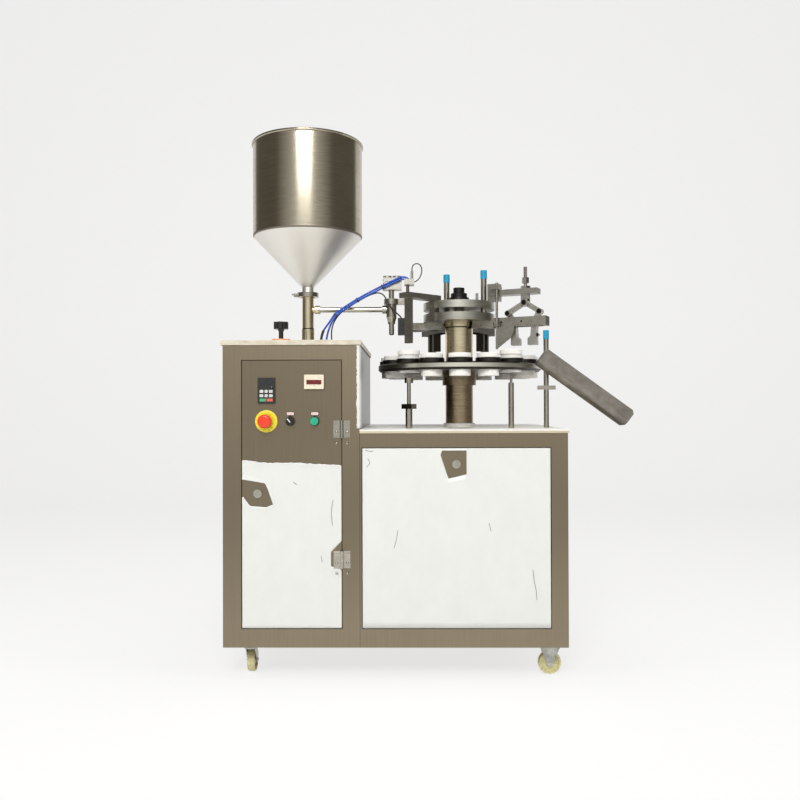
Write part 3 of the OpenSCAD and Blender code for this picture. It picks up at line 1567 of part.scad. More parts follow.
module air_hose_left() {
    machine_frame() color(blue_hose) hose(route_left, hose_d);
}

module air_hose_right() {
    machine_frame() color(blue_hose) hose(route_right, hose_d);
}

module sensor_cable() {
    machine_frame() color(black_plastic) hose(route_cable, cable_d);
}

cabinet_shell();
rear_panels();
front_panel();
top_cover();
table_top();
frame_hinge_leaves();
column();
tool_plate();
tool_arms();
guide_rods();
rod_caps();
fill_bracket();
filling_head();
fill_cylinder();
tube_sensor();
product_pipe();
product_tee();
hopper_clamp();
hopper();
lift_sleeves();
chute_post();
chute();
knob_base();
caster_mounts();
drive_motor();
index_drive();
dosing_cylinder();
electrics_plate();
air_hose_left();
air_hose_right();
sensor_cable();
door();
door_hinge_leaves();
switch_bodies();
panel_instruments();
estop_button();
selector_knob();
start_button();
door_latch();
panel_latch();
dose_knob();
swivel_fork_front();
swivel_fork_rear();
wheel_front_left();
wheel_rear_left();
wheel_front_right();
wheel_rear_right();
turntable();
turntable_hub();
tube_cups();
cup_left();
cup_right();
lift_rod_left();
lift_rod_right();
crosshead();
press_arms();
link_inner();
link_outer();
lever_inner();
lever_outer();
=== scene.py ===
"""Looks of a castered tube filling machine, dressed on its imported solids.

Sizes are in millimetres in the machine's own frame (x from the cabinet's middle, y from its front,
z from the floor) until place() turns them into metres in the part's frame."""

import bmesh
import bpy
import numpy as np
from bpy.props import FloatProperty, IntProperty, PointerProperty
from mathutils import Matrix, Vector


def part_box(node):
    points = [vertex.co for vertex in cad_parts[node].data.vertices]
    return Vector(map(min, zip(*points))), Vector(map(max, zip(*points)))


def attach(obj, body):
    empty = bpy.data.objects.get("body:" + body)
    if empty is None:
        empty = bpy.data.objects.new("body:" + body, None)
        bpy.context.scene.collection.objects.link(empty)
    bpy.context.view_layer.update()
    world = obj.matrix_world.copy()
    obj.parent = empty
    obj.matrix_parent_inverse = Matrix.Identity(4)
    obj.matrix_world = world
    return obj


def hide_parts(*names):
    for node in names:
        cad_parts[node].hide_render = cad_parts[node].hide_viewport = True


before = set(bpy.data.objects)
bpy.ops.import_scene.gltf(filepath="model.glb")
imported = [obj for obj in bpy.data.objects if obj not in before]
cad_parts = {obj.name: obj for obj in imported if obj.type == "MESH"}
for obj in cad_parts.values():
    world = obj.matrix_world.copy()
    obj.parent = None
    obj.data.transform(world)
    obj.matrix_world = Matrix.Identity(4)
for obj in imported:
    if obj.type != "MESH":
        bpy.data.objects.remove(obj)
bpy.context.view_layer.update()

bl_info = {
    "name": "Tube Filling Machine Looks",
    "version": (1, 0, 0),
    "blender": (4, 5, 0),
    "location": "View3D > Sidebar > Machine",
    "description": "Finishes, films, hoses, controls and stage of a tube filling machine",
    "category": "Object",
}

MM = 0.001
SHELL_LOW, SHELL_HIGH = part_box("cabinet_shell")
SHIFT = np.array([(SHELL_LOW.x + SHELL_HIGH.x) / 2, SHELL_LOW.y, 0.0])

# Places on the machine, in millimetres
DOOR_X0, DOOR_X1 = -495.5, -173.5
PANEL_X0, PANEL_X1 = -105.5, 501.5
LEAF_Z0, PANEL_Z1 = 168.0, 748.0
HINGE_X, HINGE_ZS = -172.0, (362.0, 783.0)
SWITCH_Z = 837.0
ESTOP_X, SELECTOR_X, START_X = -416.5, -338.5, -259.5
KEYPAD = (-443.5, 894.0, 56.0, 84.0)
COUNTER = (-292.5, 941.0, 63.0, 46.0)
COLUMN = (230.0, 340.0)
# Right edge of the tall section, and the angle of the tongs' station from the front in degrees
TOWER_X = -114.5
TONGS = 64.5


def place(points):
    """Millimetres in the machine's frame to metres in the part's frame."""
    return np.asarray(points, float) * MM + SHIFT


def at_station(angle, out, side, z):
    """A place on the head: out from the column along a station's direction and sideways from it."""
    a = np.radians(angle)
    return (COLUMN[0] + out * np.sin(a) + side * np.cos(a), COLUMN[1] - out * np.cos(a) + side * np.sin(a), z)


def linear(code):
    """An sRGB hex colour as linear red, green, blue and alpha."""
    srgb = np.array([int(code[i:i + 2], 16) for i in (1, 3, 5)]) / 255
    rgb = np.where(srgb <= 0.04045, srgb / 12.92, ((srgb + 0.055) / 1.055) ** 2.4)
    return (*rgb.tolist(), 1.0)


# Shapes: each function gives (points, faces), and put() makes one piece of several shapes

def grid_faces(rows, cols, wrap_rows=False, wrap_cols=False):
    """Quads between neighbouring points of a grid, closed round where a direction wraps."""
    i, j = np.meshgrid(np.arange(rows if wrap_rows else rows - 1),
                       np.arange(cols if wrap_cols else cols - 1), indexing="ij")
    below, right = (i + 1) % rows, (j + 1) % cols
    quads = [i * cols + j, below * cols + j, below * cols + right, i * cols + right]
    return np.stack(quads, -1).reshape(-1, 4).tolist()


def axes_along(direction):
    """Two unit vectors square to a direction, then the direction itself."""
    w = np.asarray(direction, float) / np.linalg.norm(direction)
    u = np.cross(w, (0, 1, 0) if abs(w[1]) < 0.9 else (1, 0, 0))
    u /= np.linalg.norm(u)
    return u, np.cross(w, u), w


def turned(profile, centre, direction=(0, 0, 1), sides=40):
    """Surface of revolution: radius and height of each profile point, carried round an axis."""
    u, v, w = axes_along(direction)
    r, h = np.asarray(profile, float).T
    a = np.linspace(0, 2 * np.pi, sides, endpoint=False)[:, None]
    ring = np.cos(a)[..., None] * u + np.sin(a)[..., None] * v
    points = np.asarray(centre, float) + r[None, :, None] * ring + h[None, :, None] * w
    return points.reshape(-1, 3), grid_faces(sides, len(r), wrap_rows=True)


def swept(path, radius, sides=12, up=(0, 1, 0)):
    """Circle carried along a path, square to it; ends closed: centre + r cos a * side + r sin a * top."""
    path = np.asarray(path, float)
    tangent = np.gradient(path, axis=0)
    tangent /= np.linalg.norm(tangent, axis=1)[:, None]
    side = np.cross(tangent, up)
    side /= np.linalg.norm(side, axis=1)[:, None]
    top = np.cross(side, tangent)
    a = np.linspace(0, 2 * np.pi, sides, endpoint=False)
    c, s = np.cos(a)[None, :, None], np.sin(a)[None, :, None]
    points = path[:, None] + radius * (c * side[:, None] + s * top[:, None])
    faces = grid_faces(len(path), sides, wrap_cols=True)
    last = (len(path) - 1) * sides
    return points.reshape(-1, 3), faces + [list(range(sides)), list(range(last + sides - 1, last - 1, -1))]


def smooth_path(route, count=100, passes=8):
    """Route sampled evenly by length, then eased by repeated three-point means with both ends held."""
    p = np.asarray(route, float)
    far = np.concatenate([[0], np.cumsum(np.linalg.norm(np.diff(p, axis=0), axis=1))])
    at = np.linspace(0, far[-1], count + 1)
    path = np.stack([np.interp(at, far, axis) for axis in p.T], -1)
    for _ in range(passes):
        path[1:-1] = (path[:-2] + 2 * path[1:-1] + path[2:]) / 4
    return path


def rounded_outline(w, h, r, arc=5):
    """Corner arcs of a rectangle centred on zero, run counter-clockwise."""
    a = np.linspace(0, np.pi / 2, arc)
    quarter = r * np.stack([np.cos(a), np.sin(a)], -1)
    turns = [((1, 1), 0), ((-1, 1), 1), ((-1, -1), 2), ((1, -1), 3)]
    corner = np.array([w / 2 - r, h / 2 - r])
    rot = [np.array([[1, 0], [0, 1]]), np.array([[0, -1], [1, 0]]), -np.eye(2), np.array([[0, 1], [-1, 0]])]
    return np.vstack([np.array(s) * corner + quarter @ rot[k].T for s, k in turns])


def plate(outline, centre, depth, edge=0.4, u=(1, 0, 0), v=(0, 0, 1), w=(0, -1, 0)):
    """Outline raised along w by depth, its front edge eased by a chamfer, closed at both faces."""
    flat = np.asarray(outline, float)
    reach = np.abs(flat).max(0)
    inner = flat * (1 - edge / reach)
    rings = [(flat, 0.0), (flat, depth - edge), (inner, depth)]
    u, v, w = (np.asarray(x, float) for x in (u, v, w))
    points = np.vstack([np.asarray(centre, float) + f[:, :1] * u + f[:, 1:] * v + h * w for f, h in rings])
    n = len(flat)
    faces = grid_faces(3, n, wrap_cols=True)
    return points, faces + [list(range(n)), list(range(3 * n - 1, 2 * n - 1, -1))]


def block(x0, x1, y0, y1, z0, z1, edge=0.8):
    """Bar with eased edges, standing on its rear face."""
    outline = rounded_outline(x1 - x0, z1 - z0, edge, 3)
    return plate(outline, ((x0 + x1) / 2, y1, (z0 + z1) / 2), y1 - y0, edge)


def screw_head(x, y, z, r, h, direction=(0, -1, 0)):
    """Button head: a low dome with a hexagon socket sunk in its middle."""
    dome = [(r, 0), (r, 0.35 * h), (0.86 * r, 0.75 * h), (0.6 * r, h),
            (0.42 * r, h), (0.38 * r, 0.5 * h), (0, 0.5 * h)]
    return turned(dome, (x, y, z), direction, 24)


def hex_nut(centre, r, h, direction=(0, 0, 1)):
    """Hexagon with chamfered rims: six sides carried up through three rings."""
    profile = [(0, 0), (0.93 * r, 0), (r, 0.12 * h), (r, 0.88 * h), (0.93 * r, h), (0, h)]
    return turned(profile, centre, direction, 6)


def put(name, shapes, material, body, sharp=35.0):
    """Joins shapes into one piece, merges doubles, turns faces outwards and lets it ride on a body."""
    if isinstance(shapes, tuple):
        shapes = [shapes]
    starts = np.cumsum([0] + [len(p) for p, _ in shapes[:-1]])
    points = place(np.vstack([p for p, _ in shapes]))
    faces = [[i + s for i in f] for s, (_, fs) in zip(starts.tolist(), shapes) for f in fs]
    mesh = bpy.data.meshes.new(name)
    mesh.from_pydata(points.tolist(), [], faces)
    work = bmesh.new()
    work.from_mesh(mesh)
    bmesh.ops.remove_doubles(work, verts=work.verts, dist=2e-6)
    bmesh.ops.dissolve_degenerate(work, edges=work.edges, dist=1e-7)
    bmesh.ops.recalc_face_normals(work, faces=work.faces)
    work.to_mesh(mesh)
    work.free()
    mesh.polygons.foreach_set("use_smooth", np.ones(len(mesh.polygons), bool))
    mesh.set_sharp_from_angle(angle=np.radians(sharp))
    mesh.materials.append(finish_of(material))
    piece = bpy.data.objects.new(name, mesh)
    bpy.context.scene.collection.objects.link(piece)
    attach(piece, body)
    return piece


# Finishes

def add(tree, kind, inputs=None, **settings):
    """Adds one node: settings are its own properties, and an input is a value or the socket that feeds it."""
    node = tree.nodes.new("ShaderNode" + kind)
    for key, value in settings.items():
        setattr(node, key, value)
    for key, value in (inputs or {}).items():
        if isinstance(value, bpy.types.NodeSocket):
            tree.links.new(value, node.inputs[key])
        else:
            node.inputs[key].default_value = value
    return node


def surface(name, light, dark, rough, metallic, grain, blotch, bump=0.0, worn=0.5, coat=0.0):
    """One finish: colour between dark and light, by a grain of that size in mm along each axis and by soft
    blotches, which also sets roughness between two values and the depth of a fine relief in mm."""
    material = bpy.data.materials.new(name)
    material.use_nodes = True
    tree = material.node_tree
    shader = tree.nodes["Principled BSDF"]
    spot = add(tree, "TexCoord").outputs["Object"]
    stretch = add(tree, "Mapping", {"Vector": spot, "Scale": [1 / (g * MM) for g in grain]})
    lines = add(tree, "TexNoise", {"Vector": stretch.outputs[0], "Scale": 1.0, "Detail": 3.0,
                                   "Roughness": 0.6})
    cloud = add(tree, "TexNoise", {"Vector": spot, "Scale": 1 / (blotch * MM), "Detail": 4.0,
                                   "Roughness": 0.55})
    share = add(tree, "Math", {0: cloud.outputs[0], 1: worn, 2: lines.outputs[0]}, operation="MULTIPLY_ADD")
    tone = add(tree, "MapRange", {"Value": share.outputs[0], "From Min": 0.35 + 0.35 * worn,
                                  "From Max": 0.65 + 0.65 * worn, "To Min": 0.0, "To Max": 1.0})
    colour = add(tree, "ValToRGB", {"Fac": tone.outputs[0]})
    colour.color_ramp.elements[0].color = linear(dark)
    colour.color_ramp.elements[1].color = linear(light)
    gloss = add(tree, "MapRange", {"Value": tone.outputs[0], "To Min": rough[1], "To Max": rough[0]})
    tree.links.new(colour.outputs[0], shader.inputs["Base Color"])
    tree.links.new(gloss.outputs[0], shader.inputs["Roughness"])
    shader.inputs["Metallic"].default_value = metallic
    shader.inputs["Coat Weight"].default_value = coat
    if bump:
        relief = add(tree, "Bump", {"Height": lines.outputs[0], "Distance": bump * MM, "Strength": 1.0})
        tree.links.new(relief.outputs[0], shader.inputs["Normal"])
    return material


def recolour(material, mask_of, light, rough=None, metallic=None):
    """Lays a second colour over a finish where a mask is 1; mask_of adds its nodes and gives a socket."""
    tree = material.node_tree
    shader = tree.nodes["Principled BSDF"]
    mask = mask_of(tree)
    under = shader.inputs["Base Color"].links[0].from_socket
    over = add(tree, "MixRGB", {"Fac": mask, "Color1": under, "Color2": linear(light)})
    tree.links.new(over.outputs[0], shader.inputs["Base Color"])
    for socket, value in (("Roughness", rough), ("Metallic", metallic)):
        if value is None:
            continue
        links = shader.inputs[socket].links
        low = links[0].from_socket if links else shader.inputs[socket].default_value
        blend = add(tree, "MapRange", {"Value": mask, "To Min": low, "To Max": value})
        tree.links.new(blend.outputs[0], shader.inputs[socket])
    return material


def between(axis, low, high, soft=0.5):
    """A mask that is 1 between two places on an axis, in mm, with soft edges."""
    def nodes(tree):
        spot = add(tree, "TexCoord").outputs["Object"]
        along = add(tree, "SeparateXYZ", {0: spot}).outputs[axis]
        edge = SHIFT["XYZ".index(axis)]
        up = add(tree, "MapRange", {"Value": along, "From Min": (low - soft) * MM + edge,
                                    "From Max": (low + soft) * MM + edge})
        down = add(tree, "MapRange", {"Value": along, "From Min": (high - soft) * MM + edge,
                                      "From Max": (high + soft) * MM + edge, "To Min": 1.0, "To Max": 0.0})
        return add(tree, "Math", {0: up.outputs[0], 1: down.outputs[0]}, operation="MULTIPLY").outputs[0]
    return nodes


def near_axis(centre, radius, low):
    """A mask that is 1 inside a radius of an upright axis and above a height, in mm."""
    def nodes(tree):
        spot = add(tree, "TexCoord").outputs["Object"]
        middle = [-c * MM - s for c, s in zip((*centre, 0), SHIFT)]
        flat = add(tree, "Mapping", {"Vector": spot, "Location": middle})
        only = add(tree, "VectorMath", {0: flat.outputs[0], 1: (1, 1, 0)}, operation="MULTIPLY")
        far = add(tree, "VectorMath", {0: only.outputs[0]}, operation="LENGTH")
        inside = add(tree, "Math", {0: far.outputs["Value"], 1: radius * MM}, operation="LESS_THAN")
        above = between("Z", low, 3000.0)(tree)
        return add(tree, "Math", {0: inside.outputs[0], 1: above}, operation="MULTIPLY").outputs[0]
    return nodes


def patches(size, share):
    """A mask of torn patches of that size in mm that cover about a share of the surface."""
    def nodes(tree):
        spot = add(tree, "TexCoord").outputs["Object"]
        cloud = add(tree, "TexNoise", {"Vector": spot, "Scale": 1 / (size * MM), "Detail": 5.0,
                                       "Roughness": 0.6})
        return add(tree, "MapRange", {"Value": cloud.outputs[0], "From Min": 0.66 - share,
                                      "From Max": 0.68 - share}).outputs[0]
    return nodes


def stainless_sheet():
    # Cold-rolled stainless, brushed upright: hair lines, drawn 1.4 mm wide to show, and hand smears.
    # It is painted darker at mid height as a painted shade, and the seam beside the tall section's corner is
    # a dark line
    m = surface("brushed_stainless_sheet", "#978b77", "#8d816c", (0.33, 0.40), 1.0,
                (1.4, 1.4, 220.0), 260.0, 0.001)
    # Painted shade: the band from 330 to 760 mm is darkened
    m = recolour(m, between("Z", 330.0, 760.0, 160.0), "#857a66")
    return recolour(m, between("X", TOWER_X - 0.6, TOWER_X + 0.6, 0.2), "#45423c", 0.3)


def tower_sheet():
    # The same sheet, painted greyer as a painted shade on the tall section's return face
    return surface("brushed_stainless_rear_painted_shade", "#857f73", "#767065", (0.30, 0.40), 1.0,
                   (1.6, 1.6, 200.0), 240.0, 0.003)


def door_sheet():
    # Finer-brushed leaf, painted darker all over than the cabinet's sheet as a painted reflection of the
    # floor
    return surface("brushed_stainless_door", "#8a7f6c", "#827763", (0.31, 0.38), 1.0,
                   (1.2, 1.2, 160.0), 200.0, 0.001)


def film():
    # Milky polyethylene protective film: glossy, with soft waves where air sits under it
    return surface("polyethylene_film", "#e0e1dd", "#dcddda", (0.30, 0.40), 0.0,
                   (45.0, 45.0, 70.0), 90.0, 0.25)


def film_crease():
    # Painted shade: a dark line standing for the shade in a film's crease
    return surface("film_crease_painted_shade", "#6d6557", "#4a4439", (0.5, 0.7), 0.0, (2.0, 2.0, 6.0), 12.0, 0.0)


def cover_film():
    # Film over stainless on the cover, beige, with a pale line along its folded edge, and torn in small
    # patches
    m = surface("filmed_cover_sheet", "#d8d1c0", "#bfb59f", (0.3, 0.5), 0.0, (30.0, 30.0, 12.0), 60.0, 0.1)
    # A pale 1 mm line along the fold at 1100 mm
    m = recolour(m, between("Z", 1099.6, 1100.6, 0.2), "#e8e7e1", 0.4)
    return recolour(m, patches(30.0, -0.035), "#8d8270", 0.35, 1.0)


def table_film():
    # Film on the table plate: whiter on top, beige where it wraps the front edge
    m = surface("filmed_table_plate", "#edece6", "#e3e0d6", (0.3, 0.5), 0.0, (30.0, 30.0, 8.0), 70.0, 0.1)
    m = recolour(m, between("Z", 700.0, 804.0, 1.0), "#c9bda4", 0.45, 0.2)
    return recolour(m, patches(24.0, -0.04), "#8d8270", 0.35, 1.0)


def hopper_steel():
    # Spun hopper: mirror-bright brushed cylinder over a satin cone, with a ground weld between them
    m = surface("spun_stainless_hopper", "#c2bbaa", "#a49a86", (0.16, 0.26), 1.0,
                (60.0, 60.0, 1.6), 220.0, 0.006)
    m = recolour(m, between("Z", 1200.0, 1505.0, 2.0), "#f0ede6", 0.42)
    return recolour(m, between("Z", 1503.0, 1510.0, 1.0), "#8b8478", 0.5)


def bright_steel():
    # Ground and polished shafting: fine rings round its axis
    return surface("ground_bright_steel", "#c9c5ba", "#a29c8e", (0.14, 0.26), 1.0,
                   (12.0, 12.0, 1.0), 60.0, 0.004)


def turned_steel():
    # Turned column with a warm oil film: rings about 1 mm apart, drawn 1.5 mm to show
    m = surface("turned_oiled_steel", "#f2e6c4", "#cdbd9c", (0.18, 0.28), 1.0, (90.0, 90.0, 1.2), 90.0, 0.003)
    return recolour(m, between("Z", 1168.0, 1171.5, 0.4), "#2c2822", 0.5)


def plate_steel():
    # Milled and nickelled plates of the head: pale grey with faint cutter marks
    return surface("nickelled_milled_plate", "#c6c4b9", "#99978d", (0.26, 0.42), 1.0,
                   (70.0, 70.0, 1.4), 60.0, 0.01)


def crosshead_steel():
    # The same plate, painted lighter than the tool plate as a painted highlight, with a blackened nut and
    # shaft end on top
    m = surface("nickelled_crosshead", "#d8d6cc", "#a6a49a", (0.26, 0.42), 1.0, (70.0, 70.0, 1.4), 60.0, 0.01)
    return recolour(m, near_axis(COLUMN, 39.5, 1267.0), "#242320", 0.4, 0.6)


def arm_steel():
    # Sawn and filed bar, lightly rusted and oiled; the arms at the back of the head, past y = 385 mm, are
    # painted darker as a painted shade
    m = surface("oiled_bar_steel", "#b8b5a9", "#7d776b", (0.32, 0.5), 1.0, (3.0, 3.0, 3.0), 40.0, 0.02, 0.9)
    return recolour(m, between("Y", 385.0, 900.0, 6.0), "#625d53", 0.5)


def press_steel():
    # Milled press bars and blocks with lengthwise cutter marks
    return surface("milled_bar_steel", "#bdbab0", "#86827a", (0.28, 0.45), 1.0,
                   (20.0, 20.0, 1.6), 45.0, 0.015, 0.8)


def link_steel():
    # Flame-cut links, tumbled bright
    return surface("tumbled_link_steel", "#d2cfc6", "#a19e95", (0.28, 0.42), 1.0,
                   (6.0, 6.0, 6.0), 30.0, 0.015, 0.8)


def turntable_steel():
    # Blackened disc; the band of its turned rim is painted pale as a painted highlight
    m = surface("blackened_disc_steel", "#45423c", "#26241f", (0.3, 0.5), 0.9, (80.0, 80.0, 1.2), 80.0, 0.01)
    return recolour(m, between("Z", 1014.5, 1028.0, 0.6), "#e2e0d2", 0.3, 1.0)


def hub_steel():
    # Drive sleeve: turned steel browned by heat and oil
    return surface("browned_turned_steel", "#bba98d", "#8d7d64", (0.24, 0.36), 1.0,
                   (90.0, 90.0, 1.4), 80.0, 0.004)


def nylon():
    # Turned white nylon: matt with faint tool rings
    return surface("turned_white_nylon", "#f4f2ee", "#e4e1da", (0.34, 0.5), 0.0,
                   (60.0, 60.0, 1.2), 40.0, 0.01)


def zinc():
    # Bright zinc plate on pressed steel, with a bluish spangle
    return surface("zinc_plated_pressing", "#c4c3bd", "#96958f", (0.22, 0.42), 1.0,
                   (8.0, 8.0, 8.0), 25.0, 0.01, 0.8)


def wheel_nylon():
    # Cream polypropylene wheel, scuffed grey by the floor
    return surface("scuffed_cream_polypropylene", "#e0d9a6", "#bdb58a", (0.4, 0.6), 0.0,
                   (10.0, 10.0, 10.0), 22.0, 0.05, 0.9)


def chute_steel():
    # Rolled stainless chute with dull heat stains and rub marks
    return surface("stained_rolled_stainless", "#9d978e", "#706b64", (0.34, 0.52), 1.0,
                   (40.0, 5.0, 40.0), 70.0, 0.012, 1.1)


def hose_blue():
    # Blue polyurethane air hose: smooth, slightly translucent gloss
    return surface("blue_polyurethane_hose", "#2a5cc4", "#173f9a", (0.18, 0.3), 0.0,
                   (20.0, 20.0, 20.0), 30.0, 0.0)


def cable_black():
    # Black PVC cable jacket
    return surface("black_pvc_jacket", "#2a2a2c", "#161617", (0.34, 0.5), 0.0, (6.0, 6.0, 6.0), 20.0, 0.01)


def cap_blue():
    # Dipped vinyl end cap
    return surface("cyan_dipped_vinyl", "#1fa3cb", "#1184aa", (0.3, 0.44), 0.0, (10.0, 10.0, 4.0), 14.0, 0.02)


def black_abs():
    # Moulded black ABS with a spark-eroded texture (0.4 mm grain)
    return surface("moulded_black_abs", "#2c2b2a", "#1c1b1b", (0.36, 0.5), 0.0, (0.8, 0.8, 0.8), 18.0, 0.01)


def bakelite():
    # Black phenolic star knob: polished, with dust in its flutes
    return surface("black_phenolic", "#2a2827", "#141313", (0.2, 0.36), 0.0, (5.0, 5.0, 5.0), 16.0, 0.01)


def salmon_paint():
    # Baked orange-pink paint on the knob's base, chipped to metal in small spots
    m = surface("salmon_baked_enamel", "#e29a72", "#cf7f56", (0.32, 0.5), 0.0, (5.0, 5.0, 5.0), 18.0, 0.02)
    return recolour(m, patches(7.0, 0.0), "#8c7a68", 0.4, 0.8)


def red_plastic():
    # Moulded red mushroom head
    return surface("moulded_red_plastic", "#f0492f", "#d93822", (0.24, 0.36), 0.0,
                   (3.0, 3.0, 3.0), 14.0, 0.006)


def yellow_plastic():
    # Printed yellow disc
    return surface("moulded_yellow_plastic", "#f4e33c", "#e6cf2c", (0.34, 0.46), 0.0,
                   (3.0, 3.0, 3.0), 14.0, 0.006)


def green_plastic():
    # Translucent green push-button cap
    return surface("moulded_green_plastic", "#35b58d", "#1f9170", (0.22, 0.34), 0.0,
                   (3.0, 3.0, 3.0), 9.0, 0.006)


def label_plastic():
    # Engraved two-layer plate, pale with a pink cast
    return surface("pale_label_laminate", "#eed9d3", "#dfbfb8", (0.4, 0.55), 0.0, (2.0, 2.0, 2.0), 6.0, 0.004)


def cream_plastic():
    # Cream ABS bezel of the counter
    return surface("moulded_cream_abs", "#ece3d0", "#dccfb6", (0.34, 0.48), 0.0, (1.0, 1.0, 1.0), 20.0, 0.006)


def window_red():
    # Dark red acrylic window of the counter
    return surface("dark_red_acrylic", "#7a1414", "#560b0b", (0.06, 0.12), 0.0,
                   (20.0, 20.0, 20.0), 12.0, 0.0, 0.5, 0.6)


def screen_dark():
    # Smoked display window of the keypad
    return surface("smoked_acrylic", "#23282b", "#101315", (0.06, 0.12), 0.0,
                   (20.0, 20.0, 20.0), 12.0, 0.0, 0.5, 0.6)


def key_grey():
    # Pale silicone keys
    return surface("pale_silicone_key", "#d4d5d0", "#bfc1bc", (0.45, 0.6), 0.0, (2.0, 2.0, 2.0), 6.0, 0.006)


def key_green():
    # Green silicone key
    return surface("green_silicone_key", "#59b07c", "#3f9663", (0.45, 0.6), 0.0, (2.0, 2.0, 2.0), 6.0, 0.006)


def key_red():
    # Dull red silicone key
    return surface("red_silicone_key", "#d6705f", "#c05443", (0.45, 0.6), 0.0, (2.0, 2.0, 2.0), 6.0, 0.006)


def white_mark():
    # Stamped white pointer
    return surface("stamped_white_ink", "#f2f2ee", "#e2e2dc", (0.5, 0.6), 0.0, (2.0, 2.0, 2.0), 6.0, 0.0)


def black_oxide():
    # Hot-blackened steel, oiled
    return surface("black_oxide_steel", "#2b2a28", "#161514", (0.3, 0.46), 0.8, (3.0, 3.0, 3.0), 12.0, 0.01)


def copper_tip():
    # Soft copper nose of a set screw, pink where it rubs
    return surface("rubbed_copper", "#d08f78", "#a8674f", (0.3, 0.45), 1.0, (2.0, 2.0, 2.0), 6.0, 0.0)


def hammered_grey():
    # Grey machine enamel on the gearbox and its stand
    return surface("grey_machine_enamel", "#8d908f", "#767978", (0.3, 0.46), 0.0, (3.0, 3.0, 3.0), 30.0, 0.03)


def cast_aluminium():
    # Anodised air cylinder and block: fine bead-blasted silver
    return surface("bead_blasted_aluminium", "#c3c1b8", "#9b988e", (0.34, 0.5), 1.0,
                   (1.2, 1.2, 1.2), 30.0, 0.01)


FINISHES = {f.__name__: f for f in (
    stainless_sheet, tower_sheet, door_sheet, film, film_crease, cover_film, table_film, hopper_steel,
    bright_steel, turned_steel, plate_steel, crosshead_steel, arm_steel, press_steel, link_steel,
    turntable_steel, hub_steel, nylon, zinc, wheel_nylon, chute_steel, hose_blue, cable_black, cap_blue,
    black_abs, bakelite, salmon_paint, red_plastic, yellow_plastic, green_plastic, label_plastic,
    cream_plastic, window_red, screen_dark, key_grey, key_green, key_red, white_mark, black_oxide,
    copper_tip, hammered_grey, cast_aluminium)}
MADE = {}


def finish_of(name):
    """The finish of that name, made at its first use."""
    if name not in MADE:
        MADE[name] = FINISHES[name]()
    return MADE[name]


NODE_FINISH = {
    "cabinet_shell": "stainless_sheet", "rear_panels": "tower_sheet", "front_panel": "stainless_sheet",
    "top_cover": "cover_film", "table_top": "table_film", "frame_hinge_leaves": "bright_steel",
    "column": "turned_steel", "tool_plate": "plate_steel", "tool_arms": "arm_steel",
    "guide_rods": "bright_steel", "rod_caps": "cap_blue",
    "fill_bracket": "arm_steel", "filling_head": "bright_steel",
    "fill_cylinder": "cast_aluminium", "tube_sensor": "black_abs", "product_pipe": "bright_steel",
    "product_tee": "turned_steel", "hopper_clamp": "bright_steel", "hopper": "hopper_steel",
    "lift_sleeves": "bright_steel", "chute_post": "bright_steel", "chute": "chute_steel",
    "knob_base": "salmon_paint", "caster_mounts": "zinc", "drive_motor": "hammered_grey",
    "index_drive": "hammered_grey", "dosing_cylinder": "bright_steel", "electrics_plate": "cast_aluminium",
    "air_hose_left": "hose_blue", "air_hose_right": "hose_blue", "sensor_cable": "cable_black",
    "door": "door_sheet", "door_hinge_leaves": "bright_steel", "switch_bodies": "black_abs",
    "panel_instruments": "black_abs", "estop_button": "red_plastic", "selector_knob": "black_abs",
    "start_button": "green_plastic", "door_latch": "bright_steel", "panel_latch": "bright_steel",
    "dose_knob": "bakelite", "swivel_fork_front": "zinc", "swivel_fork_rear": "zinc",
    "wheel_front_left": "wheel_nylon", "wheel_rear_left": "wheel_nylon", "wheel_front_right": "wheel_nylon",
    "wheel_rear_right": "wheel_nylon", "turntable": "turntable_steel", "turntable_hub": "hub_steel",
    "tube_cups": "nylon", "cup_left": "nylon", "cup_right": "nylon", "lift_rod_left": "bright_steel",
    "lift_rod_right": "bright_steel", "crosshead": "crosshead_steel", "press_arms": "press_steel",
    "link_inner": "link_steel", "link_outer": "link_steel",
    "lever_inner": "link_steel", "lever_outer": "link_steel",
}

# Routes of the hoses and the cable, as in the part's source; the left hose's end is up to 2 mm higher here,
# to clear the right one when the bends are eased
ROUTE_LEFT = [
    (-275, 324, 1106), (-274, 324, 1132), (-267, 324, 1160), (-243, 324, 1192), (-226, 324, 1219.5),
    (-205, 324, 1236), (-182, 324, 1250.5), (-144, 324, 1275), (-98.5, 324, 1299.5), (-52.5, 324, 1322.5),
    (-17.5, 324, 1339.5), (12, 324, 1354), (21.5, 324, 1357.5), (31, 324, 1356), (40.5, 324, 1354),
    (48, 324, 1346)]
ROUTE_RIGHT = [
    (-255, 324, 1106), (-254.5, 324, 1132), (-248, 324, 1160), (-237, 324, 1188), (-220, 324, 1214.5),
    (-201, 324, 1230), (-178, 324, 1244.5), (-140, 324, 1269), (-95.5, 324, 1292.5), (-49.5, 324, 1315.5),
    (-14.5, 324, 1332.5), (14.5, 324, 1347), (20, 324, 1348.5), (25.5, 324, 1349), (31, 324, 1348),
    (36, 324, 1346)]
ROUTE_CABLE = [
    (-235, 324, 1106), (-236, 326, 1130), (-237, 329.5, 1158), (-232, 331.5, 1184), (-219, 332, 1209),
    (-200, 332, 1229), (-177, 332, 1244.5), (-140, 332, 1268.5), (-97, 332, 1291.5), (-66, 331.5, 1301),
    (-46, 326, 1293), (-36, 321, 1275), (-28, 318, 1256), (-14, 320, 1238), (4, 328, 1222),
    (15, 338, 1214), (19, 347, 1208)]
# Thin signal hose from the flow valve's tip, round a loop, back into the end of the block
ROUTE_LOOP = [
    (58, 348, 1384), (57.5, 347, 1394), (62, 344, 1404), (73, 340, 1409), (86, 335, 1405),
    (94, 330, 1393), (95, 326, 1377), (91, 323, 1361), (84, 321, 1347), (75, 320, 1339),
    (66, 320, 1336)]


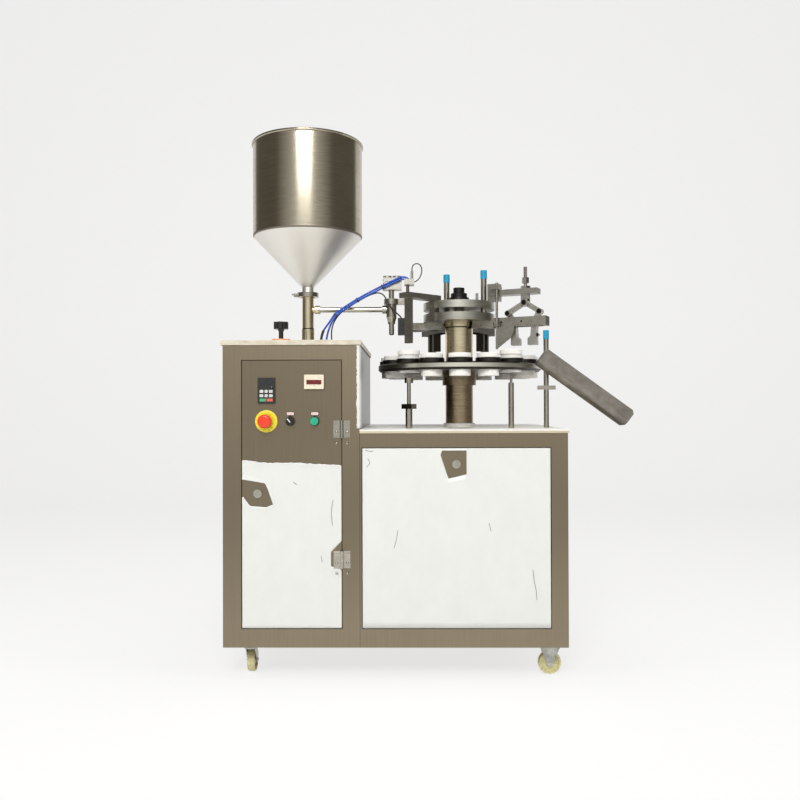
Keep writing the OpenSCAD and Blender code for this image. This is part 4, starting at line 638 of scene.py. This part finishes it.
class StageSettings(bpy.types.PropertyGroup):
    lens: FloatProperty(name="Lens", description="Focal length of the stage camera", default=35.55,
                        unit="CAMERA", min=10.0)
    softbox: FloatProperty(name="Softbox", description="Power of the front softbox", default=150.0,
                           unit="POWER", min=0.0)
    side: FloatProperty(name="Side light", description="Power of the side lights", default=45.0,
                        unit="POWER", min=0.0)
    glow: FloatProperty(name="Backdrop glow", description="Share of white in the backdrop", default=0.72,
                        subtype="FACTOR", min=0.0, max=1.0)
    room: FloatProperty(name="Room light", description="Strength of the room's light", default=0.85, min=0.0)


class MachineSettings(bpy.types.PropertyGroup):
    hose_diameter: FloatProperty(name="Air hose", description="Outer diameter of an air hose", default=0.007,
                                 unit="LENGTH")
    cable_diameter: FloatProperty(name="Sensor cable", description="Outer diameter of the sensor cable",
                                  default=0.005, unit="LENGTH")
    loop_diameter: FloatProperty(name="Signal hose", description="Outer diameter of the valve's signal hose",
                                 default=0.004, unit="LENGTH")
    film_lift: FloatProperty(name="Film curl", description="How far a torn film edge curls off the sheet, mm",
                             default=2.2, min=0.0)
    torn_seed: IntProperty(name="Tear seed", description="Seed of the torn film line", default=7)


class MACHINE_OT_stage(bpy.types.Operator):
    """Pale floor and backdrop, soft lights and the camera at the photograph's view"""
    bl_idname = "machine.stage"
    bl_label = "Stage"

    def execute(self, context):
        scene = context.scene
        settings = scene.machine_stage
        # Camera: position, yaw, pitch and roll fitted to the cabinet's edges
        yaw, pitch, roll = -0.011, 0.007, -0.003
        forward = np.array([np.sin(yaw) * np.cos(pitch), np.cos(yaw) * np.cos(pitch), np.sin(pitch)])
        level = np.array([np.cos(yaw), -np.sin(yaw), 0.0])
        upright = np.cross(level, forward)
        right = np.cos(roll) * level + np.sin(roll) * upright
        up = -np.sin(roll) * level + np.cos(roll) * upright
        spot = place((44.8, -2554.9, 886.6))
        lens = bpy.data.cameras.new("photo_camera")
        lens.lens, lens.sensor_width = settings.lens, 36.0
        camera = bpy.data.objects.new("photo_camera", lens)
        rows = np.eye(4)
        rows[:3, 0], rows[:3, 1], rows[:3, 2], rows[:3, 3] = right, up, -forward, spot
        camera.matrix_world = Matrix(rows.tolist())
        scene.collection.objects.link(camera)
        scene.camera = camera
        scene.view_settings.view_transform = "Standard"

        # Floor that sweeps up into a backdrop: level, then a quarter circle, then upright
        turn = np.linspace(0, np.pi / 2, 24)
        reach, bend, top = 4.2, 1.8, 9.0
        ys = np.concatenate([[-9.0, 0.0], reach + bend * np.sin(turn), [reach + bend]])
        zs = np.concatenate([[0.0, 0.0], bend * (1 - np.cos(turn)), [top]])
        xs = np.linspace(-7.5, 7.5, 9)
        points = np.stack(np.broadcast_arrays(xs[None], ys[:, None], zs[:, None]), -1).reshape(-1, 3)
        mesh = bpy.data.meshes.new("stage_sweep")
        mesh.from_pydata(points.tolist(), [], grid_faces(len(ys), 9))
        mesh.polygons.foreach_set("use_smooth", np.ones(len(mesh.polygons), bool))
        paper = bpy.data.materials.new("seamless_paper")
        paper.use_nodes = True
        tree = paper.node_tree
        shader = tree.nodes["Principled BSDF"]
        shader.inputs["Base Color"].default_value = linear("#f4f4f2")
        shader.inputs["Roughness"].default_value = 0.9
        glow = add(tree, "Emission", {"Color": linear("#ffffff"), "Strength": 1.0})
        rays = add(tree, "LightPath")
        seen = add(tree, "Math", {0: rays.outputs["Is Camera Ray"], 1: rays.outputs["Is Glossy Ray"]},
                   operation="MAXIMUM")
        clear = add(tree, "Math", {0: seen.outputs[0], 1: rays.outputs["Is Transmission Ray"]},
                    operation="MAXIMUM")
        share = add(tree, "Math", {0: clear.outputs[0], 1: settings.glow}, operation="MULTIPLY")
        mixed = add(tree, "MixShader", {0: share.outputs[0], 1: shader.outputs[0], 2: glow.outputs[0]})
        tree.links.new(mixed.outputs[0], tree.nodes["Material Output"].inputs["Surface"])
        mesh.materials.append(paper)
        sweep = bpy.data.objects.new("stage_sweep", mesh)
        scene.collection.objects.link(sweep)

        # Soft boxes: a tall one behind the camera and a low-power one on each side
        for name, at, aim, size, power in (
                ("front_softbox", (-0.4, -4.2, 3.9), (-0.1, 0, 1.0), (2.2, 1.8), settings.softbox),
                ("left_softbox", (-3.6, -1.6, 2.6), (0, 0, 0.9), (1.2, 2.4), settings.side),
                ("right_softbox", (3.6, -1.4, 2.4), (0, 0, 0.9), (1.2, 2.4), settings.side),
                ("top_softbox", (0.0, -0.4, 4.2), (0, 0, 0.9), (3.0, 2.0), settings.side)):
            lamp = bpy.data.lights.new(name, "AREA")
            lamp.shape, lamp.size, lamp.size_y, lamp.energy = "RECTANGLE", size[0], size[1], power
            holder = bpy.data.objects.new(name, lamp)
            back = np.array(at) - np.array(aim)
            w = back / np.linalg.norm(back)
            u = np.cross((0, 0, 1), w) if abs(w[2]) < 0.9 else np.array([1.0, 0, 0])
            u /= np.linalg.norm(u)
            rows = np.eye(4)
            rows[:3, 0], rows[:3, 1], rows[:3, 2], rows[:3, 3] = u, np.cross(w, u), w, at
            holder.matrix_world = Matrix(rows.tolist())
            holder.visible_glossy = name == "front_softbox"
            scene.collection.objects.link(holder)

        # Room light: pale in front of and behind the machine, dimmer to its sides
        world = bpy.data.worlds.new("studio_room")
        world.use_nodes = True
        scene.world = world
        tree = world.node_tree
        way = add(tree, "TexCoord").outputs["Generated"]
        depth = add(tree, "SeparateXYZ", {0: way}).outputs["Y"]
        facing = add(tree, "Math", {0: depth}, operation="ABSOLUTE")
        tone = add(tree, "ValToRGB", {"Fac": facing.outputs[0]})
        tone.color_ramp.elements[0].position, tone.color_ramp.elements[1].position = 0.5, 0.97
        tone.color_ramp.elements[0].color = linear("#726e68")
        tone.color_ramp.elements[1].color = linear("#e6e5e2")
        background = tree.nodes["Background"]
        tree.links.new(tone.outputs[0], background.inputs["Color"])
        background.inputs["Strength"].default_value = settings.room
        return {"FINISHED"}


class MACHINE_OT_finishes(bpy.types.Operator):
    """Gives every solid of the machine the finish of its real material, some with painted shade or highlight
    in their colours
    """
    bl_idname = "machine.finishes"
    bl_label = "Finishes"

    def execute(self, context):
        for node, finish in NODE_FINISH.items():
            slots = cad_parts[node].data.materials
            slots.clear()
            slots.append(finish_of(finish))
        return {"FINISHED"}


class MACHINE_OT_hoses(bpy.types.Operator):
    """Two air hoses and the sensor cable from the cover to the head, with their ties"""
    bl_idname = "machine.hoses"
    bl_label = "Hoses"

    def execute(self, context):
        sizes = context.scene.machine_sizes
        for name, node, route, passes, width, finish in (
                ("hose_run_left", "air_hose_left", ROUTE_LEFT, 8, sizes.hose_diameter, "hose_blue"),
                ("hose_run_right", "air_hose_right", ROUTE_RIGHT, 8, sizes.hose_diameter, "hose_blue"),
                ("cable_run", "sensor_cable", ROUTE_CABLE, 8, sizes.cable_diameter, "cable_black"),
                ("signal_loop", None, ROUTE_LOOP, 80, sizes.loop_diameter, "cable_black")):
            path = smooth_path(route, 100, passes)
            run = put(name, swept(path, width / MM / 2, 16), finish, "machine")
            if node:
                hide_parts(node)
        # Ties round the bundle, each square to the hoses' run, and the sleeve on the left hose's foot
        path = (smooth_path(ROUTE_LEFT) + smooth_path(ROUTE_RIGHT)) / 2 + np.array([0.0, 2.5, 0.0])
        way = np.gradient(path, axis=0)
        band = [(8.4, -2.0), (9.7, -2.0), (9.7, 2.0), (8.4, 2.0), (8.4, -2.0)]
        spots = [int(np.abs(path[:, 0] - x).argmin()) for x in (-221.0, -141.0, -50.0)]
        put("cable_ties", [turned(band, path[i], way[i], 32) for i in spots], "cable_black", "machine")
        foot = smooth_path(ROUTE_LEFT)[:14]
        put("hose_sleeve", swept(foot[1:], 4.7, 16), "cable_black", "machine")
        return {"FINISHED"}


class MACHINE_OT_films(bpy.types.Operator):
    """Protective film on the door's lower part and on the front panel, cut away round latches and a hinge"""
    bl_idname = "machine.films"
    bl_label = "Films"

    def execute(self, context):
        sizes = context.scene.machine_sizes
        draws = np.random.default_rng(sizes.torn_seed)
        curl = sizes.film_lift

        def bands(xs, edges, torn):
            """Film between pairs of lower and upper lines over x; near a torn line it lifts by
            curl * exp(-gap / 7 mm)."""
            shapes = []
            t = np.linspace(0, 1, 26)
            for low, high in edges:
                z = low[None] + (high - low)[None] * t[:, None]
                x = np.broadcast_to(xs[None], z.shape)
                gap = np.min([np.abs(z - line[None]) + reach[None] for line, reach in torn], axis=0)
                wave = 0.12 * np.sin(x / 37 + 0.6 * np.sin(z / 51)) + 0.12
                y = -0.25 - wave - curl * np.exp(-gap / 7)
                points = np.stack([x, y, z], -1).reshape(-1, 3)
                shapes.append((points, grid_faces(*z.shape)))
            return shapes

        # Door: torn top line, a cut round the latch at the left edge and one round the lower hinge
        xs = np.unique(np.concatenate([np.linspace(DOOR_X0, DOOR_X1, 90), [-395.0, -394.9, -208.0, -208.1]]))
        jag = np.convolve(draws.normal(0, 1.8, len(xs) + 6), np.ones(3) / 3, "same")[3:-3]
        top = np.interp(xs, [-496, -405, -308, -227, -173], [712, 703, 702, 697, 694]) + jag
        seam = np.full(len(xs), 600.0)
        inside = xs <= -395.0
        cut_low = np.interp(xs, [-496, -492, -469, -417, -395], [590, 593, 563, 559, 568])
        cut_low = np.where(inside, cut_low, seam)
        cut_high = np.where(inside, np.interp(xs, [-496, -421, -412, -395], [649, 636, 618, 568]), seam)
        by_hinge = xs >= -208.0
        hinge_low = np.where(by_hinge, np.interp(xs, [-208, -173], [368, 360]), 400.0)
        hinge_high = np.where(by_hinge, np.interp(xs, [-208, -173], [413, 450]), 400.0)
        bottom = np.full(len(xs), LEAF_Z0)
        near, far = np.zeros(len(xs)), np.full(len(xs), 900.0)
        torn = [(top, near), (cut_low, np.where(inside, near, far)), (cut_high, np.where(inside, near, far))]
        shapes = bands(xs, [(bottom, hinge_low), (hinge_high, cut_low), (cut_high, top)], torn)
        door = put("door_film", shapes, "film", "door_leaf", sharp=60)

        # Front panel: film over all of it, cut away round the latch
        cut_xs = [146.9, 147.0, 152.0, 231.0, 231.1]
        xs = np.unique(np.concatenate([np.linspace(PANEL_X0, PANEL_X1, 110), cut_xs]))
        inside = (xs >= 147.0) & (xs <= 231.0)
        seam = np.full(len(xs), 705.0)
        cut_low = np.where(inside, np.interp(xs, [147, 172, 231], [726, 650, 664]), seam)
        cut_high = np.where(inside, np.interp(xs, [147, 152, 231], [726, 741, 741]), seam)
        bottom, top = np.full(len(xs), LEAF_Z0), np.full(len(xs), PANEL_Z1)
        near, far = np.zeros(len(xs)), np.full(len(xs), 900.0)
        torn = [(cut_low, np.where(inside, near, far)), (cut_high, np.where(inside, near, far))]
        shapes = bands(xs, [(bottom, cut_low), (cut_high, top)], torn)
        panel = put("panel_film", shapes, "film", "machine", sharp=60)
        # Strip left on the tall section's corner, and creases in both films
        wrap = np.array([(-9.0, -0.5), (-4.0, -0.6), (0.0, -0.6), (0.6, 0.0),
                         (0.6, 20.0), (0.7, 55.0), (0.6, 96.0)])
        zs = np.linspace(813.0, 1083.0, 46)[:, None]
        ragged = draws.normal(0, 1.2, (len(zs), 2))
        xs = TOWER_X + wrap[None, :, 0] + np.where(np.arange(7) == 0, ragged[:, :1], 0)
        ys = wrap[None, :, 1] + np.where(np.arange(7) == 6, 2 * ragged[:, 1:], 0)
        strip = np.stack([xs, ys, np.broadcast_to(zs, xs.shape)], -1).reshape(-1, 3)
        corner = put("corner_film", (strip, grid_faces(*xs.shape)), "film", "machine", sharp=60)
        for name, body, runs in (
                ("panel_film_creases", "machine", [
                    ((444, 355), (447, 320), (455, 285), (456, 259)), ((303, 507), (306, 494), (309, 481)),
                    ((9, 484), (4, 455), (-4, 426)), ((-88, 716), (-80, 700), (-92, 688)),
                    ((-96, 742), (-80, 738), (-70, 740))]),
                ("door_film_creases", "door_leaf", [
                    ((-201, 582), (-207, 540), (-203, 500)), ((-240, 401), (-236, 380)),
                    ((-330, 640), (-318, 632))])):
            # Each crease is a thin dark tube laid on the film as a painted shade
            lines = [smooth_path([(x, -0.75, z) for x, z in run], 12, 3) for run in runs]
            put(name, [swept(line, 0.7, 8) for line in lines], "film_crease", body)
        for piece in (door, panel, corner):
            skin = piece.modifiers.new("film_gauge", "SOLIDIFY")
            skin.thickness, skin.offset = 0.15 * MM, 0.0
        return {"FINISHED"}


class MACHINE_OT_controls(bpy.types.Operator):
    """Emergency-stop disc, label plates and the selector's pointer"""
    bl_idname = "machine.controls"
    bl_label = "Controls"

    def execute(self, context):
        ring = [(18.3, 0.0), (35.9, 0.0), (36.2, 0.6), (36.0, 2.2),
                (35.2, 2.6), (18.9, 2.6), (18.3, 2.2), (18.3, 0.0)]
        put("estop_disc", turned(ring, (ESTOP_X, 0, SWITCH_Z), (0, -1, 0), 72), "yellow_plastic", "door_leaf")
        for name, x in (("selector_label", SELECTOR_X), ("start_label", START_X)):
            tag = plate(rounded_outline(23, 9.5, 1.2), (x, -1.0, SWITCH_Z + 24.0), 0.9, 0.3)
            put(name, tag, "label_plastic", "door_leaf")
        front = (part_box("selector_knob")[0].y - SHIFT[1]) / MM
        lean = np.radians(40.0)
        along, across = np.array([-np.sin(lean), 0, np.cos(lean)]), np.array([np.cos(lean), 0, np.sin(lean)])
        tip = np.array([SELECTOR_X, front, SWITCH_Z]) + 3.5 * along
        put("selector_pointer", plate(rounded_outline(3.0, 15.0, 0.6), tip, 0.5, 0.15, across, along),
            "white_mark", "selector")
        return {"FINISHED"}


class MACHINE_OT_instruments(bpy.types.Operator):
    """Keys, display and dial of the speed keypad, and the counter's bezel and window"""
    bl_idname = "machine.instruments"
    bl_label = "Instruments"

    def execute(self, context):
        x0, z0, w, h = KEYPAD
        front = -8.0
        keys = []
        for z in (25.5, 39.5):
            for x, wide in ((13.0, 12.0), (28.0, 10.0), (43.0, 12.0)):
                keys.append(plate(rounded_outline(wide, 9.6, 1.4), (x0 + x, front, z0 + z), 1.8, 0.5))
        put("keypad_keys", keys, "key_grey", "door_leaf")
        for name, x, wide, finish in (("keypad_run_key", 17.0, 20.5, "key_green"),
                                      ("keypad_stop_key", 39.5, 20.0, "key_red")):
            key = plate(rounded_outline(wide, 9.6, 1.4), (x0 + x, front, z0 + 11.5), 1.8, 0.5)
            put(name, key, finish, "door_leaf")
        screen = plate(rounded_outline(39.5, 15.5, 0.8), (x0 + w / 2, front + 1.0, z0 + h - 16), 0.8, 0.2)
        put("keypad_display", screen, "screen_dark", "door_leaf")
        dial = [(6.2, 0.0), (6.2, 0.8), (5.0, 1.2), (4.6, 4.4), (3.8, 5.0), (0.0, 5.0)]
        dial_x, dial_z = x0 + 45.5, z0 + 51.0
        put("keypad_dial", turned(dial, (dial_x, front, dial_z), (0, -1, 0), 36), "bakelite", "door_leaf")
        mark = plate(rounded_outline(0.9, 3.4, 0.2), (dial_x, front - 5.0, dial_z + 1.6), 0.2, 0.05)
        put("keypad_dial_mark", mark, "white_mark", "door_leaf")
        x0, z0, w, h = COUNTER
        middle, face = x0 + w / 2, -9.0
        bezel = plate(rounded_outline(w + 0.8, h + 0.8, 2.5), (middle, -7.6, z0 + h / 2), 1.4, 0.5)
        put("counter_bezel", bezel, "cream_plastic", "door_leaf")
        window = plate(rounded_outline(48.0, 14.5, 1.0), (middle, face, z0 + 21.8), 0.6, 0.2)
        put("counter_window", window, "window_red", "door_leaf")
        lamp = [(1.5, 0.0), (1.5, 0.4), (0.9, 0.9), (0.0, 1.0)]
        lens = turned(lamp, (middle, face, z0 + 12.0), (0, -1, 0), 20)
        put("counter_lamp", lens, "window_red", "door_leaf")
        return {"FINISHED"}


class MACHINE_OT_fasteners(bpy.types.Operator):
    """Screws of the hinges and rear panels, caster bolts and the threads of the head's studs"""
    bl_idname = "machine.fasteners"
    bl_label = "Fasteners"

    def execute(self, context):
        leaf = (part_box("frame_hinge_leaves")[0].y - SHIFT[1]) / MM
        leaf = max(leaf, -3.0)
        for name, body, x in (("frame_hinge_screws", "machine", HINGE_X + 17.0),
                              ("door_hinge_screws", "door_leaf", HINGE_X - 17.0)):
            heads = [screw_head(x, leaf, z + dz, 4.6, 2.4) for z in HINGE_ZS for dz in (-17, 17)]
            put(name, heads, "bright_steel", body)
        back = (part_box("rear_panels")[1].y - SHIFT[1]) / MM
        rows = [(x, z) for x in (-500, -330, -160) for z in (165, 590, 1020)]
        rows += [(x, z) for x in (-105, 90, 300, 500) for z in (165, 450, 735)]
        heads = [screw_head(x, back, z, 5.5, 3.0, (0, 1, 0)) for x, z in rows]
        put("rear_panel_screws", heads, "zinc", "machine")
        bolts = [hex_nut((x + dx, y + dy, 96.0), 7.2, 5.0) for x in (-480.5, 507.5) for y in (70.0, 650.0)
                 for dx in (-37, 37) for dy in (-27, 27)]
        put("caster_bolts", bolts, "zinc", "machine")
        # Thread: a ridge at every pitch on the stud over the tongs
        pitch = 1.75
        turns = np.arange(30)
        z = np.stack([turns * pitch, turns * pitch + 0.9], -1).ravel()
        ridge = np.stack([np.tile([6.05, 6.9], len(turns)), z], -1).tolist()
        ridge = [(6.0, -0.5), *ridge, (6.0, z[-1] + 0.6)]
        stud = turned(ridge, at_station(TONGS, 252.0, 0.0, 1320.0), sides=32)
        put("stud_thread", stud, "link_steel", "press_head")

        # Tongs: blackened arm end, flat dark discs painted as the shade in the holes of the arm's near side,
        # the outer jaw's bolt and the pin heads
        a = np.radians(TONGS)
        out, side = np.array([np.sin(a), -np.cos(a), 0.0]), np.array([np.cos(a), np.sin(a), 0.0])
        end = plate(rounded_outline(44.0, 32.0, 1.0), at_station(TONGS, 331.0, 0.0, 1180.5), 0.8, 0.3,
                    side, (0, 0, 1), out)
        put("arm_end_cap", end, "black_oxide", "machine")
        hole = [(3.6, 0.0), (3.6, 0.25), (0.0, 0.25)]
        # Painted shade: flat dark discs 0.25 mm thick stand for the shade inside the arm's holes
        holes = [turned(hole, at_station(TONGS, s, -22.5, 1181.0), -side, 24) for s in (170.0, 243.0)]
        put("arm_hole_shade_discs", holes, "black_oxide", "machine")
        bolt = hex_nut(at_station(TONGS, 293.6, 0.0, 1133.0), 6.0, 5.0, out)
        put("jaw_bolt", bolt, "black_oxide", "outer_lever")
        socket = [(8.5, 0.0), (8.5, 4.2), (7.6, 5.0), (4.2, 5.0), (3.9, 2.0), (0.0, 2.0)]
        for name, s, z, t, body in (("clevis_pin_head", 252.0, 1247.0, -20.5, "press_head"),
                                    ("inner_pin_head", 190.0, 1212.0, -16.0, "inner_lever"),
                                    ("outer_pin_head", 304.0, 1214.0, -12.4, "outer_lever")):
            put(name, turned(socket, at_station(TONGS, s, t, z), -side, 30), "black_oxide", body)
        tip = [(3.2, 0.0), (3.2, 4.0), (2.4, 5.2), (0.0, 5.6)]
        nose = turned(tip, at_station(TONGS, 298.4, 0.0, 1133.0), out, 24)
        put("jaw_bolt_tip", nose, "copper_tip", "outer_lever")
        return {"FINISHED"}


class MACHINE_PT_looks(bpy.types.Panel):
    """Lists the machine's pieces in the sidebar"""
    bl_idname = "MACHINE_PT_looks"
    bl_label = "Machine looks"
    bl_space_type = "VIEW_3D"
    bl_region_type = "UI"
    bl_category = "Machine"

    def draw(self, context):
        for settings in (context.scene.machine_stage, context.scene.machine_sizes):
            for key in settings.__annotations__:
                self.layout.prop(settings, key)
        for piece in PIECES:
            self.layout.operator(piece.bl_idname)


PIECES = (MACHINE_OT_stage, MACHINE_OT_finishes, MACHINE_OT_hoses, MACHINE_OT_films, MACHINE_OT_controls,
          MACHINE_OT_instruments, MACHINE_OT_fasteners)
CLASSES = (StageSettings, MachineSettings, *PIECES, MACHINE_PT_looks)


def register():
    for cls in CLASSES:
        bpy.utils.register_class(cls)
    bpy.types.Scene.machine_stage = PointerProperty(type=StageSettings)
    bpy.types.Scene.machine_sizes = PointerProperty(type=MachineSettings)


def unregister():
    del bpy.types.Scene.machine_sizes, bpy.types.Scene.machine_stage
    for cls in reversed(CLASSES):
        bpy.utils.unregister_class(cls)


def main():
    register()
    for piece in PIECES:
        group, call = piece.bl_idname.split(".")
        getattr(getattr(bpy.ops, group), call)()


if __name__ == "__main__":
    main()
